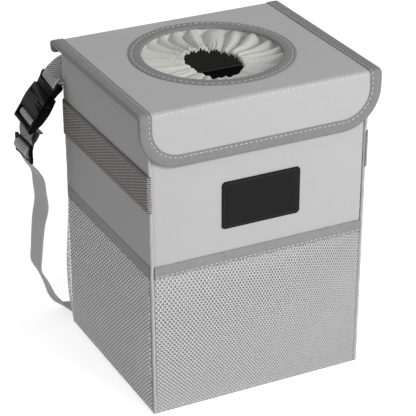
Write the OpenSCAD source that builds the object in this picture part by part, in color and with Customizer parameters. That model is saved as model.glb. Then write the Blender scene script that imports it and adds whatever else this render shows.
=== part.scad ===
// Car trash bin: a fabric box on stiff boards, with a lid, a gathered opening, mesh pockets
// and a hanging strap. Millimetres, +Z up, front towards -Y, origin in the middle of the base.

/* [Body] */
// Width of the body over its side panels, at the rim
body_w = 180; // [170:1:220]
// Width of the body at the floor
base_w = 176.4; // [168:0.2:180]
// Depth of the body over its corner seams
body_d = 157; // [140:1:190]
// Height of the rim above the floor
rim_z = 244.7; // [230:0.1:300]
// Thickness of the outer fabric
fabric_t = 0.8; // [0.5:0.1:1]
// Thickness of the stiffening boards
board_t = 1.6; // [1:0.1:2]
// Thickness of the boards' floor piece
base_board_t = 2.4; // [1.5:0.1:4]
// Thickness of the waterproof liner and of the facing above it
liner_t = 0.6; // [0.4:0.1:0.8]
// Height at which the liner meets the facing
liner_z = 190; // [150:1:210]
// Width of the rolled corner seams
seam_w = 2.6; // [2.2:0.1:3]
// How far the corner seams stand out of the front and back panels
seam_step = 1; // [0.9:0.1:1.3]
// How far the corner seams stand out of the side panels
side_step = 0.6; // [0.4:0.1:0.8]

/* [Tape] */
// Width of the binding tape
tape_w = 10; // [8:0.5:12]
// Thickness of the binding tape
tape_t = 0.7; // [0.5:0.1:0.8]
// Depth of the tape folded over the rim
rim_tape_h = 9; // [6:0.5:12]

/* [Side webbing] */
// Height of the middle of the side webbing
side_web_z = 184.3; // [160:0.1:195]
// Width of the side webbing
side_web_w = 29; // [20:1:40]
// How far the side webbing stands out of the corner seams
side_web_proud = 1; // [0.8:0.1:1.5]
// Ribs across the side webbing
side_web_ribs = 11; // [5:1:15]

/* [Pockets] */
// Height of the pockets' mouths
pocket_z = 125.2; // [100:0.1:140]
// Height of the pockets' lower seam
pocket_foot_z = 1.5; // [1:0.5:5]
// Thickness of the mesh
mesh_t = 0.8; // [0.6:0.1:0.9]
// How far the front pocket bulges
front_bulge = 1.2; // [0.5:0.1:4]
// How far the side pockets bulge
side_bulge = 7; // [3:0.5:9]
// Gaps across the front mesh, counted as in a coarse net
front_net_cells = 11; // [6:1:11]
// Gaps across a side mesh
side_net_cells = 8; // [6:1:9]
// Rows of gaps in a side mesh
net_rows = 7; // [5:1:9]
// Thickness of the tape on the pockets' mouths
pocket_tape_t = 0.8; // [0.6:0.1:1]

/* [Front patch and closure] */
// Width of the patch
patch_w = 64.5; // [30:0.5:90]
// Height of the patch
patch_h = 38; // [20:0.5:45]
// Height of the patch's middle
patch_z = 162.6; // [150:0.1:175]
// Thickness of the patch
patch_t = 1.1; // [0.8:0.1:1.4]
// Radius of the patch's corners
patch_r = 3; // [1:0.5:8]
// Length of the hook and loop strips
strip_w = 90; // [50:1:140]
// Width of the hook and loop strips
strip_h = 18; // [12:1:22]
// Height of the strips' middle
strip_z = 226; // [222:1:230]
// Thickness of the loop strip
loop_t = 1; // [0.8:0.1:1.1]
// Thickness of the hook strip
hook_t = 0.9; // [0.7:0.1:0.9]

/* [Lid] */
// How far the lid with its tape reaches past each side of the body
lid_over = 8; // [6:0.5:14]
// Thickness of the lid's outer fabric
lid_fabric_t = 0.8; // [0.5:0.1:1]
// Thickness of the lid's board
lid_board_t = 1.2; // [0.8:0.1:1.6]
// Thickness of the lid's lining
lid_lining_t = 0.6; // [0.4:0.1:0.8]
// Gap between the rim and the lid
lid_gap = 0.3; // [0.3:0.1:0.6]
// Radius of the hole under the ring of tape
hole_r = 55.5; // [45:0.5:56]
// Inner radius of the ring of tape
ring_in_r = 53.3; // [42:0.1:54]
// Outer radius of the ring of tape
ring_out_r = 63.2; // [58:0.1:66]
// How far the hole's centre lies behind the body's centre
hole_y = 3; // [0:0.5:6]
// How far the hole lies right of the lid's middle
hole_x = 1.2; // [-2:0.1:2]
// Drop of the flap below the lid's top
flap_h = 42.6; // [36:0.1:50]
// Radius of the flap's lower corners
flap_r = 31; // [15:1:34]
// Thickness of the flap's board
flap_board_t = 0.7; // [0.5:0.1:1]
// Thickness of the flap's lining
flap_lining_t = 0.5; // [0.4:0.1:0.6]
// Height of the lid fabric's tail on the back
lip_h = 6; // [5:0.5:8]

/* [Cuff] */
// Radius of the gathered opening
cuff_r = 24; // [18:0.5:32]
// Depth of the gathered opening below the lid's outer fabric
cuff_drop = 5; // [3:0.5:14]
// Gathers round the cuff
cuff_gathers = 30; // [20:1:32]
// Height of the gathers at the opening
cuff_wave = 1.4; // [0.5:0.1:2]
// Thickness of the cuff's cloth
cuff_t = 0.7; // [0.5:0.1:1]
// Thickness of the elastic under the hem
elastic_d = 2; // [1.5:0.1:3]

/* [Strap] */
// Width of the strap's webbing
strap_w = 25; // [20:1:30]
// Thickness of the strap's webbing
strap_t = 1.2; // [0.8:0.1:1.4]
// Height of the strap's sewn ends
anchor_z = 221.5; // [215:0.5:223]
// Distance of the strap's sewn ends from the middle of the back
anchor_x = 48; // [40:1:60]
// Width of the reinforcing patches
anchor_w = 34; // [28:1:36]
// Thickness of the reinforcing patches
anchor_t = 1.3; // [1.2:0.1:1.6]
// How far behind the body's back the strap hangs
hang_y = 16; // [14:0.5:30]
// How far the doubled webbing bulges between the slider and the buckle
loop_bulge = 6.5; // [2:0.5:8]

/* [Buckle] */
// Width of the buckle
buckle_w = 33; // [30:0.5:40]
// Thickness of the buckle's socket
buckle_t = 9; // [8:0.5:11]
// Length of the socket shell
socket_l = 21; // [18:0.5:26]
// Distance from the prongs' webbing bar to the socket's mouth
socket_gap = 9.5; // [9:0.5:12]
// Radius of the webbing bars
bar_r = 1.8; // [1.4:0.1:2.2]
// Wall of the socket
socket_wall = 1.6; // [1.2:0.1:2]
// How far the prongs' grips stand out of the socket's windows
grip_proud = 1.2; // [0:0.1:2]

/* [Slider] */
// Width of the slider
slider_w = 32; // [29:0.5:38]
// Distance between the slider's bars
slider_pitch = 6.6; // [6:0.1:8]
// Radius of the slider's outer bars
slider_bar_r = 1.2; // [1:0.1:1.4]
// Radius of the slider's middle bar
slider_mid_r = 1.1; // [0.9:0.1:1.2]

/* [Fit] */
// Running clearance between pieces that move on each other
clear = 0.3; // [0.3:0.05:0.4]

/* [Hidden] */
$fn = 96;
eps = 0.01;

// Body: the side panels lean in by side_lean from the rim down to the floor
side_lean = asin((body_w - base_w) / 2 / rim_z);
half_w = body_w / 2;
half_d = body_d / 2;
panel_y = half_d - seam_step;
board_y = panel_y - fabric_t;
inner_y = board_y - board_t;
floor_z = fabric_t + base_board_t;
wall_z = rim_z - tape_t;
side_wall_t = side_step + fabric_t + board_t;
// Half widths of the front panel between the corner seams, at the rim and at the floor
front_top_x = half_w - seam_w;
front_base_x = base_w / 2 - seam_w;
// Half width of the inside, which the narrower end decides
inner_x = min(base_w, body_w) / 2 - side_wall_t;
// The mesh ends just behind the lower edge of the tape on its mouth
pocket_h = pocket_z - tape_w + 0.3 - pocket_foot_z;

// Lid: layers from the lining up, and the two fold axes
lid_under_z = rim_z + lid_gap;
lid_board_z = lid_under_z + lid_lining_t;
lid_fabric_z = lid_board_z + lid_board_t;
lid_top_z = lid_fabric_z + lid_fabric_t;
fold_z = (lid_under_z + lid_top_z) / 2;
roll_r = (lid_top_z - lid_under_z) / 2 - 0.1;
half_lid = half_w + lid_over - tape_t;
// The flap hangs clear of the hook and loop strips
flap_in_y = -(panel_y + loop_t + clear + hook_t);
flap_board_y = flap_in_y - flap_lining_t;
flap_panel_y = flap_board_y - flap_board_t;
flap_out_y = flap_panel_y - lid_fabric_t;
fold_y = (flap_in_y + flap_out_y) / 2;
flap_top_z = fold_z - roll_r - clear / 2;
flap_low_z = lid_top_z - flap_h;
hinge_y = half_d + roll_r / 2 + 0.2;
lid_back_y = hinge_y - roll_r - 0.05;
lid_front_y = fold_y + roll_r + 0.05;
lip_top_z = fold_z - roll_r - tape_t - 0.7;
// The tape under the lid's overhang starts outside the side webbing
under_tape_x = half_w + side_web_proud + 1;

// Strap: routes are round numbers chosen by hand, the rest follows the bars
web_gap = strap_t + clear;
wrap_r = bar_r + clear + strap_t / 2;
anchor_y = panel_y + anchor_t + strap_t / 2 + 0.05;
buckle_at = [-half_w - 5, half_d + 9, anchor_z - 10.3];
buckle_turn = [33.5, -5, 88];
slider_at = [-half_w - 28, half_d + hang_y - 1, anchor_z - 65];
slider_turn = [0, 0, 90];
female_bar_z = -(socket_gap + socket_l + bar_r + web_gap + clear);
lip_bar_r = 2;
lip_bar_y = 1.5;
lip_bar_z = female_bar_z - bar_r - web_gap - clear - lip_bar_r;
// Where the webbing's inner face passes behind the lip bar
lip_back_y = lip_bar_y - lip_bar_r - clear - strap_t / 2 - 0.2;
mid_wrap_r = slider_mid_r + clear + strap_t / 2;
over_wrap_r = mid_wrap_r + web_gap;
outer_web_x = slider_bar_r + clear + strap_t / 2;
// Angle at which the webbing crosses between two of the slider's bars
cross_a = acos((outer_web_x + over_wrap_r) / slider_pitch);
// Where the long webbing is cut in two below the slider, in the slider's frame
cut_z = -slider_pitch - 1.5;
// How far a reinforcing patch reaches past the sewn end of the strap
anchor_lap = 8;

// Arc of n steps about a centre, as a list of points
function arc(centre, r, from, to, n = 6) =
  [for (i = [0:n]) let (a = from + (to - from) * i / n) centre + r * [cos(a), sin(a)]];
// Rectangle with round corners, centred
function round_rect(w, h, r, n = 5) = concat(
  arc([w / 2 - r, h / 2 - r], r, 0, 90, n), arc([r - w / 2, h / 2 - r], r, 90, 180, n),
  arc([r - w / 2, r - h / 2], r, 180, 270, n), arc([w / 2 - r, r - h / 2], r, 270, 360, n));
function unit(v) = v / norm(v);
function mix(a, b, t) = a * (1 - t) + b * t;
// Direction v turned as rotate(a) turns it
function turn(v, a) =
  let (x = [v.x, v.y * cos(a.x) - v.z * sin(a.x), v.y * sin(a.x) + v.z * cos(a.x)],
    y = [x.x * cos(a.y) + x.z * sin(a.y), x.y, x.z * cos(a.y) - x.x * sin(a.y)])
  [y.x * cos(a.z) - y.y * sin(a.z), y.x * sin(a.z) + y.y * cos(a.z), y.z];
function at_buckle(p) = buckle_at + turn(p, buckle_turn);
function at_slider(p) = slider_at + turn(p, slider_turn);
// Smooth curve through the points p, with n steps from each point to the next
function smooth(p, n) = concat(
  [for (i = [0:len(p) - 2], k = [0:n - 1])
    let (a = p[max(i - 1, 0)], b = p[i], c = p[i + 1], d = p[min(i + 2, len(p) - 1)], t = k / n)
      b + 0.5 * t * ((c - a) + t * ((2 * a - 5 * b + 4 * c - d) + t * (3 * b - a - 3 * c + d)))],
  [p[len(p) - 1]]);

// Webbing swept along the points p; sides gives the direction across it at each point
module webbing(p, sides, width = strap_w, t = strap_t) {
  last = len(p) - 1;
  rings = [for (i = [0:last])
    let (along = unit(p[min(i + 1, last)] - p[max(i - 1, 0)]),
      across = unit(sides[i] - (sides[i] * along) * along), up = cross(along, across))
    for (c = [[-1, -1], [1, -1], [1, 1], [-1, 1]])
      p[i] + across * c.x * width / 2 + up * c.y * t / 2];
  skin = [for (i = [0:last - 1], k = [0:3]) let (m = (k + 1) % 4)
    for (f = [[4 * i + k, 4 * i + 4 + m, 4 * i + m], [4 * i + k, 4 * i + 4 + k, 4 * i + 4 + m]]) f];
  polyhedron(rings, concat(skin, [[0, 1, 2], [0, 2, 3]],
    [for (f = [[0, 2, 1], [0, 3, 2]]) [for (k = f) 4 * last + k]]));
}

// Places a piece of the left side, drawn with its outer face at x = 0, on the leaning side
module left_side() {
  translate([-half_w, 0, rim_z]) rotate([0, -side_lean, 0]) translate([0, 0, -rim_z]) children();
}
module right_side() { mirror([1, 0, 0]) left_side() children(); }
// Stands an outline drawn in X and Z upright, with its front at y and its thickness behind
module upright(y, t) { translate([0, y + t, 0]) rotate([90, 0, 0]) linear_extrude(t) children(); }
// Fills the body's front outline between heights from and to, inset from its seams
module front_outline(from, to, inset = 0) {
  low_x = mix(front_base_x, front_top_x, from / rim_z) - inset;
  top_x = mix(front_base_x, front_top_x, to / rim_z) - inset;
  polygon([[-low_x, from], [low_x, from], [top_x, to], [-top_x, to]]);
}

module front_panel() {
  color("silver") upright(-panel_y, fabric_t) front_outline(fabric_t, wall_z);
}
module back_panel() {
  color("silver") upright(board_y, fabric_t) front_outline(fabric_t, wall_z);
}
// A side panel is rolled into a round seam at both its edges
module side_panel() {
  roll = round_rect(seam_w, seam_w, seam_w * 0.45);
  roll_top = rim_z - rim_tape_h - clear;
  translate([0, 0, fabric_t]) {
    translate([side_step, -half_d + seam_w, 0])
      cube([fabric_t, body_d - 2 * seam_w, wall_z - fabric_t]);
    for (s = [-1, 1]) linear_extrude(roll_top - fabric_t)
      translate([seam_w / 2, s * (half_d - seam_w / 2)]) union() {
        polygon(roll);
        translate([side_step + fabric_t / 2 - seam_w / 2, -s * seam_w / 4])
          square([fabric_t, seam_w / 2 + 2 * eps], center = true);
      }
  }
}
module left_panel() { color("gray") left_side() side_panel(); }
module right_panel() { color("gray") right_side() side_panel(); }
module bottom_panel() {
  color("dimgray") linear_extrude(fabric_t)
    polygon(round_rect(base_w - 2 * side_step, 2 * panel_y, seam_w));
}

module front_board() {
  color("tan") upright(-board_y, board_t)
    front_outline(floor_z, wall_z - tape_t, side_step + fabric_t + board_t + clear - seam_w);
}
module back_board() { color("tan") mirror([0, 1, 0]) front_board(); }
module side_board() {
  translate([side_step + fabric_t, -inner_y, floor_z])
    cube([board_t, 2 * inner_y, wall_z - tape_t - floor_z]);
}
module left_board() { color("tan") left_side() side_board(); }
module right_board() { color("tan") right_side() side_board(); }
module base_board() {
  color("tan") translate([0, 0, fabric_t]) linear_extrude(base_board_t)
    square([2 * inner_x, 2 * inner_y], center = true);
}

// Inner tub from the floor up to the rim, with round upright corners
tub_r = 6;
module tub_outline(inset) {
  polygon(round_rect(2 * (inner_x - inset), 2 * (inner_y - inset), tub_r - inset));
}
module tub_wall(from, to) {
  translate([0, 0, from]) linear_extrude(to - from) difference() {
    tub_outline(0);
    tub_outline(liner_t);
  }
}
module waterproof_liner() {
  color([0.05, 0.05, 0.05]) union() {
    tub_wall(floor_z + liner_t / 2, liner_z);
    translate([0, 0, floor_z]) linear_extrude(liner_t) tub_outline(0);
  }
}
module inner_facing() { color([0.14, 0.14, 0.14]) tub_wall(liner_z, wall_z - tape_t); }
// Tape folded over the top edge of the walls
module rim_binding() {
  wall = 2 * [half_w - side_step, panel_y];
  corner_r = 2;
  color("dimgray") translate([0, 0, rim_z - rim_tape_h]) difference() {
    linear_extrude(rim_tape_h)
      polygon(round_rect(wall.x + 2 * tape_t, wall.y + 2 * tape_t, corner_r + tape_t));
    translate([0, 0, -1]) linear_extrude(rim_tape_h + 2) tub_outline(liner_t + tape_t);
    translate([0, 0, -1]) linear_extrude(rim_tape_h + 1 - tape_t) difference() {
      polygon(round_rect(wall.x, wall.y, corner_r));
      tub_outline(liner_t);
    }
  }
}

// Height of a pocket's bulge as a share, for u across from -1 to 1 and v up from 0 to 1
function swell(u, v) = sqrt(max(0, 1 - pow(abs(u), 8))) * sin(180 * pow(v, 0.8));
// Net of mesh_t standing on the X axis and bulging towards -Y, with a lozenge gap in each cell
module net(low_w, top_w, h, bulge, cells, rows) {
  // Half the gap's width as a share of its cell, and how much the cells crowd towards the sides
  gap_share = 0.34;
  crowd = 0.35;
  function spot(a, b, deep) =
    let (s = 2 * a / cells - 1, u = mix(s, sin(90 * s), crowd), v = b / rows)
      [u * mix(low_w, top_w, v) / 2, deep * mesh_t - mesh_t - bulge * swell(u, v), v * h];
  across = cells + 1;
  corners = across * (rows + 1);
  layer = corners + 4 * cells * rows;
  points = [for (deep = [0, 1]) each concat(
    [for (j = [0:rows], i = [0:cells]) spot(i, j, deep)],
    [for (j = [0:rows - 1], i = [0:cells - 1], k = [[0.5, 0.5 - gap_share], [0.5 + gap_share, 0.5],
      [0.5, 0.5 + gap_share], [0.5 - gap_share, 0.5]]) spot(i + k.x, j + k.y, deep)])];
  front = [for (j = [0:rows - 1], i = [0:cells - 1])
    let (c = [j * across + i, j * across + i + 1, (j + 1) * across + i + 1, (j + 1) * across + i],
      g = corners + 4 * (j * cells + i))
    for (k = [0:3]) let (m = (k + 1) % 4)
      for (f = [[c[k], g + k, c[m]], [c[m], g + k, g + m]]) f];
  walls = [for (q = [0:cells * rows - 1], k = [0:3])
    let (a = corners + 4 * q + k, b = corners + 4 * q + (k + 1) % 4)
      for (f = [[a, a + layer, b + layer], [a, b + layer, b]]) f];
  edge = concat([for (i = [0:cells]) i], [for (j = [1:rows]) j * across + cells],
    [for (i = [1:cells]) rows * across + cells - i], [for (j = [1:rows - 1]) (rows - j) * across]);
  rim = [for (k = [0:len(edge) - 1]) let (a = edge[k], b = edge[(k + 1) % len(edge)])
    for (f = [[a, b, b + layer], [a, b + layer, a + layer]]) f];
  polyhedron(points, concat(front, [for (f = front) [f[0] + layer, f[2] + layer, f[1] + layer]],
    walls, rim));
}
module side_net() {
  side_l = body_d - 2 * seam_w - 2 * clear;
  translate([side_step - clear / 3, 0, pocket_foot_z]) rotate([0, 0, -90])
    net(side_l, side_l, pocket_h, side_bulge, side_net_cells, net_rows);
}
module front_pocket_mesh() {
  low_w = 2 * (mix(front_base_x, front_top_x, pocket_foot_z / rim_z) - clear / 2);
  top_w = 2 * (mix(front_base_x, front_top_x, pocket_z / rim_z) - clear / 2);
  color("darkgray") translate([0, -panel_y - clear / 3, pocket_foot_z])
    net(low_w, top_w, pocket_h, front_bulge, front_net_cells, net_rows + 2);
}
module left_pocket_mesh() { color("gray") left_side() side_net(); }
module right_pocket_mesh() { color("gray") right_side() side_net(); }

// Tape on a pocket's mouth, thickened where it is folded and sewn along its lower edge
module front_pocket_band() {
  band_y = panel_y + clear / 3 + mesh_t;
  color("dimgray") union() {
    upright(-band_y - pocket_tape_t, pocket_tape_t)
      front_outline(pocket_z - tape_w, pocket_z, clear / 2);
    upright(-band_y - eps, band_y - panel_y + eps)
      front_outline(pocket_foot_z + pocket_h + clear, pocket_z, clear / 2);
  }
}
module side_band() {
  translate([side_step - clear / 3 - mesh_t - pocket_tape_t, -half_d, pocket_z - tape_w])
    cube([pocket_tape_t, body_d, tape_w]);
  translate([side_step - mesh_t - pocket_tape_t + eps, -half_d + seam_w + clear,
      pocket_foot_z + pocket_h + clear])
    cube([mesh_t + pocket_tape_t - eps, body_d - 2 * seam_w - 2 * clear,
      pocket_z - pocket_foot_z - pocket_h - clear]);
}
module left_pocket_band() { color("dimgray") left_side() side_band(); }
module right_pocket_band() { color("dimgray") right_side() side_band(); }

// Wide webbing across a side, ribbed along its length and passing over both corner seams
module side_webbing() {
  rib_h = 0.3;
  pitch = side_web_w / side_web_ribs;
  face_x = -side_web_proud;
  ribs = [for (i = [0:side_web_ribs - 1], k = [0, 0.2, 0.8])
    [face_x + (k == 0 ? rib_h : 0), side_web_z - side_web_w / 2 + (i + k) * pitch]];
  profile = concat([[side_step, side_web_z - side_web_w / 2]], ribs,
    [[face_x + rib_h, side_web_z + side_web_w / 2], [side_step, side_web_z + side_web_w / 2]]);
  difference() {
    upright(-half_d, body_d) polygon(profile);
    for (s = [-1, 1]) translate([0, s * (half_d - seam_w / 2 + eps), side_web_z])
      translate([seam_w / 2, 0, 0]) cube([seam_w, seam_w + 4 * eps, side_web_w + 1], center = true);
  }
}
module left_webbing() { color("dimgray") left_side() side_webbing(); }
module right_webbing() { color("dimgray") right_side() side_webbing(); }

module front_patch() {
  color([0.15, 0.15, 0.15]) upright(-panel_y - patch_t, patch_t) translate([0.8, patch_z])
    polygon(round_rect(patch_w, patch_h, patch_r));
}
module loop_strip() {
  color("gray") upright(-panel_y - loop_t, loop_t) translate([0, strip_z])
    polygon(round_rect(strip_w, strip_h, 2));
}
module hook_strip() {
  color("gray") upright(flap_in_y, hook_t) translate([0, strip_z])
    polygon(round_rect(strip_w, strip_h, 2));
}

// Outline of the back lip: square above, with round lower corners, inset by a margin
module lip_outline(inset) {
  r = lip_r;
  w = half_lid - inset;
  low = lip_top_z - lip_h + inset;
  polygon(concat([[w, lip_top_z], [-w, lip_top_z]], arc([r - w, low + r], r, 180, 270),
    arc([w - r, low + r], r, 270, 360)));
}
lip_y = half_d + 0.1;
lip_r = lip_h * 0.55;
lip_tape_w = tape_w * 0.45;
module back_lip() { color("silver") upright(lip_y, lid_fabric_t) lip_outline(0); }
module back_lip_binding() {
  color("dimgray") upright(lip_y + lid_fabric_t, tape_t) difference() {
    lip_outline(0);
    lip_outline(lip_tape_w);
  }
}
module anchor_patch(s) {
  color("gray") upright(panel_y, anchor_t) translate([s * (anchor_x + anchor_w / 2 - anchor_lap), anchor_z])
    polygon(round_rect(anchor_w, strap_w - 2 * clear, 1.5));
}
module left_anchor() { anchor_patch(-1); }
module right_anchor() { anchor_patch(1); }

// Side-release buckle. Its frame has the prongs' webbing bar at the origin, X across the
// webbing, Z up along the strap and Y towards the outer face.
base_top = -wrap_r - strap_t / 2 - clear;
prong_x = buckle_w / 2 - 5.5;
window_low = -(socket_gap + 9);
window_top = -(socket_gap + 1.6);
module buckle_male() {
  frame_d = 5.6;
  base_h = socket_gap + base_top - clear;
  arm_w = 2.6;
  tongue_l = socket_l - 5;
  tongue_w = 4.4;
  cavity_t = buckle_t - 2 * socket_wall - 2 * clear;
  half = buckle_w / 2;
  arm_r = 3;
  slot_h = 4;
  base_low = base_top - base_h;
  in_x = prong_x - arm_w / 2;
  out_x = prong_x + arm_w / 2;
  color([0.08, 0.08, 0.08]) translate(buckle_at) rotate(buckle_turn) {
    rotate([0, 90, 0]) cylinder(r = bar_r, h = buckle_w - 2, center = true);
    // Side arms and base plate, cut from one rounded frame
    translate([0, frame_d / 2, 0]) rotate([90, 0, 0]) linear_extrude(frame_d) difference() {
      polygon(concat(arc([half - arm_r, 0], arm_r, 0, 90), arc([arm_r - half, 0], arm_r, 90, 180),
        [[2 - half, base_top - 1], [arm_r - half, base_low], [half - arm_r, base_low],
          [half - 2, base_top - 1]]));
      translate([0, (base_top + slot_h) / 2])
        square([strap_w + 4 * clear, slot_h - base_top], center = true);
    }
    // Guide tongue and two springy prongs with grips that fill the socket's windows
    translate([0, 0, base_low - tongue_l / 2 + eps])
      cube([tongue_w, cavity_t * 0.6, tongue_l], center = true);
    for (s = [0, 1]) mirror([s, 0, 0])
      translate([0, cavity_t / 2, 0]) rotate([90, 0, 0]) linear_extrude(cavity_t)
        polygon([[in_x, base_low + 1], [out_x, base_low + 1], [out_x, window_top - clear],
          [half + grip_proud - 0.8, window_top - clear - 0.8],
          [half + grip_proud, (window_top + window_low) / 2],
          [half - 0.6, window_low + clear], [out_x + 0.5, window_low + clear],
          [prong_x + 0.6, window_low - 4.4], [prong_x - 1, window_low - 5.2], [in_x, window_low - 3]]);
  }
}
module buckle_female() {
  shell_low = -(socket_gap + socket_l);
  tail = lip_bar_z - 2.2;
  waist = 1.2;
  half = buckle_w / 2;
  rail = 2.6;
  // Half thickness at the shell's ends, and how much more it has at its belly
  end_t = buckle_t * 0.42;
  belly = buckle_t * 0.08;
  side = [for (i = [0:7]) [end_t + belly * sin(180 * i / 7), -socket_gap - socket_l * i / 7]];
  color([0.07, 0.07, 0.07]) translate(buckle_at) rotate(buckle_turn) {
    // Shell: front outline crossed with a lens-shaped side outline, then hollowed and windowed
    difference() {
      intersection() {
        translate([0, buckle_t, 0]) rotate([90, 0, 0]) linear_extrude(2 * buckle_t)
          polygon(concat([[half - waist, -socket_gap], [waist - half, -socket_gap]],
            arc([2 - half, window_low - 2], 2, 150, 180, 3), [[-half, shell_low]], [[half, shell_low]],
            arc([half - 2, window_low - 2], 2, 0, 30, 3)));
        rotate([90, 0, 90]) translate([0, 0, -half]) linear_extrude(buckle_w)
          polygon(concat(side, [for (i = [7:-1:0]) [-side[i].x, side[i].y]]));
      }
      translate([0, 0, -socket_gap - (socket_l - socket_wall) / 2 + 1])
        cube([buckle_w - 2 * waist - 2 * socket_wall, buckle_t - 2 * socket_wall,
          socket_l - socket_wall + 2], center = true);
      translate([0, 0, (window_top + window_low) / 2])
        cube([buckle_w + 2, buckle_t - 2 * socket_wall, window_top - window_low], center = true);
    }
    // Ladder: two rails carry the inner bar and the lip bar that the webbing runs round
    for (s = [-1, 1]) translate([s * (half - rail / 2), 0, 0])
      rotate([90, 0, 90]) translate([0, 0, -rail / 2]) linear_extrude(rail)
        polygon(concat([[end_t, shell_low + eps], [-end_t, shell_low + eps]],
          arc([lip_bar_y, tail + lip_bar_r], lip_bar_r, 200, 340)));
    translate([0, 0, female_bar_z]) rotate([0, 90, 0]) cylinder(r = bar_r, h = buckle_w - 2, center = true);
    translate([0, lip_bar_y, lip_bar_z]) rotate([0, 90, 0])
      cylinder(r = lip_bar_r, h = buckle_w - 2, center = true);
  }
}
// Slider: an oblong frame with a bar across its middle, its own X across the webbing
module slider() {
  rail = (slider_w - strap_w) / 2 - clear;
  frame_h = 2 * (slider_pitch + slider_bar_r);
  color([0.1, 0.1, 0.1]) translate(slider_at) rotate(slider_turn) {
    for (s = [-1, 1]) translate([s * (slider_w - rail) / 2, slider_bar_r, 0])
      rotate([90, 0, 0]) linear_extrude(2 * slider_bar_r) polygon(round_rect(rail, frame_h, rail * 0.45));
    for (s = [-1, 1]) translate([0, 0, s * slider_pitch]) rotate([0, 90, 0])
      cylinder(r = slider_bar_r, h = slider_w - rail, center = true);
    rotate([0, 90, 0]) cylinder(r = slider_mid_r, h = slider_w - rail, center = true);
  }
}

// Strap above the buckle: sewn flat to the back, turned a quarter and looped round the bar.
// Its route leaves the sewn end by these steps outwards, backwards and up.
up_steps = [[0, 0, 0], [12, 0, 0], [22, 0.2, 0], [30, 1.3, 0], [36.5, 4, -0.7], [41.2, 6.6, -1.7],
  [44, 7.3, -3]];
up_route = [for (q = up_steps) [-anchor_x - q.x, anchor_y + q.y, anchor_z + q.z]];
up_side = [[0, 0, 1], [0, 0, 1], [0, 0.02, 1], [0, 0.12, 1], [0, 0.31, 0.94], [-0.05, 0.47, 0.87],
  [-0.03, 0.82, 0.56]];
module strap_upper() {
  across = turn([1, 0, 0], buckle_turn);
  loop_pts = concat([for (q = [[2, 5.4], [2.5, 3.2], [wrap_r, 1.4]]) at_buckle([0, q.x, q.y])],
    [for (a = [0:30:180]) at_buckle([0, wrap_r * cos(a), -wrap_r * sin(a)])],
    [at_buckle([0, -wrap_r, 2]), at_buckle([0, -1, 7])]);
  route = concat(up_route, loop_pts);
  sides = concat(up_side, [[0, 1, 0.15]], [for (k = [2:len(loop_pts)]) across]);
  color("darkgray") webbing(smooth(route, 4), smooth(sides, 4));
}
// Doubled webbing from the slider's middle bar, round the buckle's inner bar and back
module strap_loop() {
  across_top = turn([1, 0, 0], buckle_turn);
  across_low = turn([1, 0, 0], slider_turn);
  // Points about the middle bar in the slider's own frame, y to the outer face and z up
  sewn = [for (a = [60:-30:-180]) at_slider([0, mid_wrap_r * cos(a), mid_wrap_r * sin(a)])];
  up = concat([for (q = [[0, slider_pitch], [0.45, 10], [0.95, 14.5], [0.95, 18.5]])
    at_slider([0, -outer_web_x - web_gap - loop_bulge * q.x, q.y])],
    [at_buckle([0, lip_back_y - 1.7 * web_gap, female_bar_z - 2.9])]);
  round_bar = [for (k = [0:10]) let (a = 169 - 23.5 * k)
    at_buckle([0, wrap_r * cos(a), female_bar_z + wrap_r * sin(a)])];
  // Down behind the upper bar, out over the middle one and in behind the lower one
  behind = [for (b = [90, 45 + cross_a / 2, cross_a])
    [0, -outer_web_x * sin(b), slider_pitch - outer_web_x * cos(b)]];
  over = [for (k = [0:4]) let (a = cross_a + (180 - 2 * cross_a) * k / 4)
    [0, over_wrap_r * sin(a), over_wrap_r * cos(a)]];
  below = [for (i = [2:-1:0]) [0, behind[i].y, -behind[i].z]];
  inner = concat([[0, -outer_web_x - clear, 16.5], [0, -outer_web_x + clear, 12.5]], behind, over,
    below, [[0, -outer_web_x, cut_z]]);
  down = concat([at_buckle([0, lip_back_y, lip_bar_z + clear])], [for (q = inner) at_slider(q)]);
  route = concat(sewn, up, round_bar, down);
  sides = concat([for (q = concat(sewn, up)) across_low], [for (q = round_bar) across_top],
    [for (q = down) across_low]);
  color("darkgray") webbing(smooth(route, 2), smooth(sides, 2));
}
// Long webbing: hangs from the slider, lies on the floor behind the bin and climbs to its
// sewn end on the right
// Its route: x in half widths of the body, y from its hanging place, z in heights of the anchors
low_steps = [[-1.239, -1, 0.6157], [-1.194, 0, 0.5483], [-1.178, 0, 0.4764], [-1.194, 0, 0.409],
  [-1.222, 0, 0.3461], [-1.237, 0, 0.2876], [-1.239, 0, 0.2292], [-1.217, 0, 0.1708],
  [-1.167, 0, 0.1169], [-1.1, 0, 0.0697], [-1.011, 0, 0.0315], [-0.889, 0, 0.0099],
  [-0.733, 0, 0.0045], [-0.333, 0.5, 0.0045], [0.111, 1.5, 0.0045], [0.556, 1.5, 0.0045],
  [0.822, 0.5, 0.0072], [1, 0, 0.027], [1.122, 0, 0.0764], [1.189, 0, 0.1528],
  [1.222, 0, 0.2697], [1.233, 0, 0.4494], [1.222, -0.5, 0.6742], [1.189, -2.5, 0.8315],
  [1.133, -6, 0.9303], [1.061, -10.3, 0.982]];
low_route = [for (q = low_steps) [q.x * half_w, half_d + hang_y + q.y, q.z * anchor_z]];
module strap_lower() {
  start = [for (z = [cut_z - clear, cut_z - 3]) at_slider([0, -outer_web_x, z])];
  end = [for (q = [[40, 1.3], [30, 0.3], [16, 0], [0, 0]])
    [anchor_x + q.x, anchor_y + q.y, anchor_z]];
  end_side = [for (q = end) [0, 0, 1]];
  route = concat(start, low_route, end);
  last = len(low_route) - 1;
  // The webbing lies across Y, and turns upright over the last points of its route
  sides = concat([for (q = start) [0, 1, 0]],
    [for (i = [0:last]) let (t = max(0, i - last + 3) / 3) [0, 1 - t, t]], end_side);
  color("darkgray") webbing(smooth(route, 2), smooth(sides, 2));
}

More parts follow.
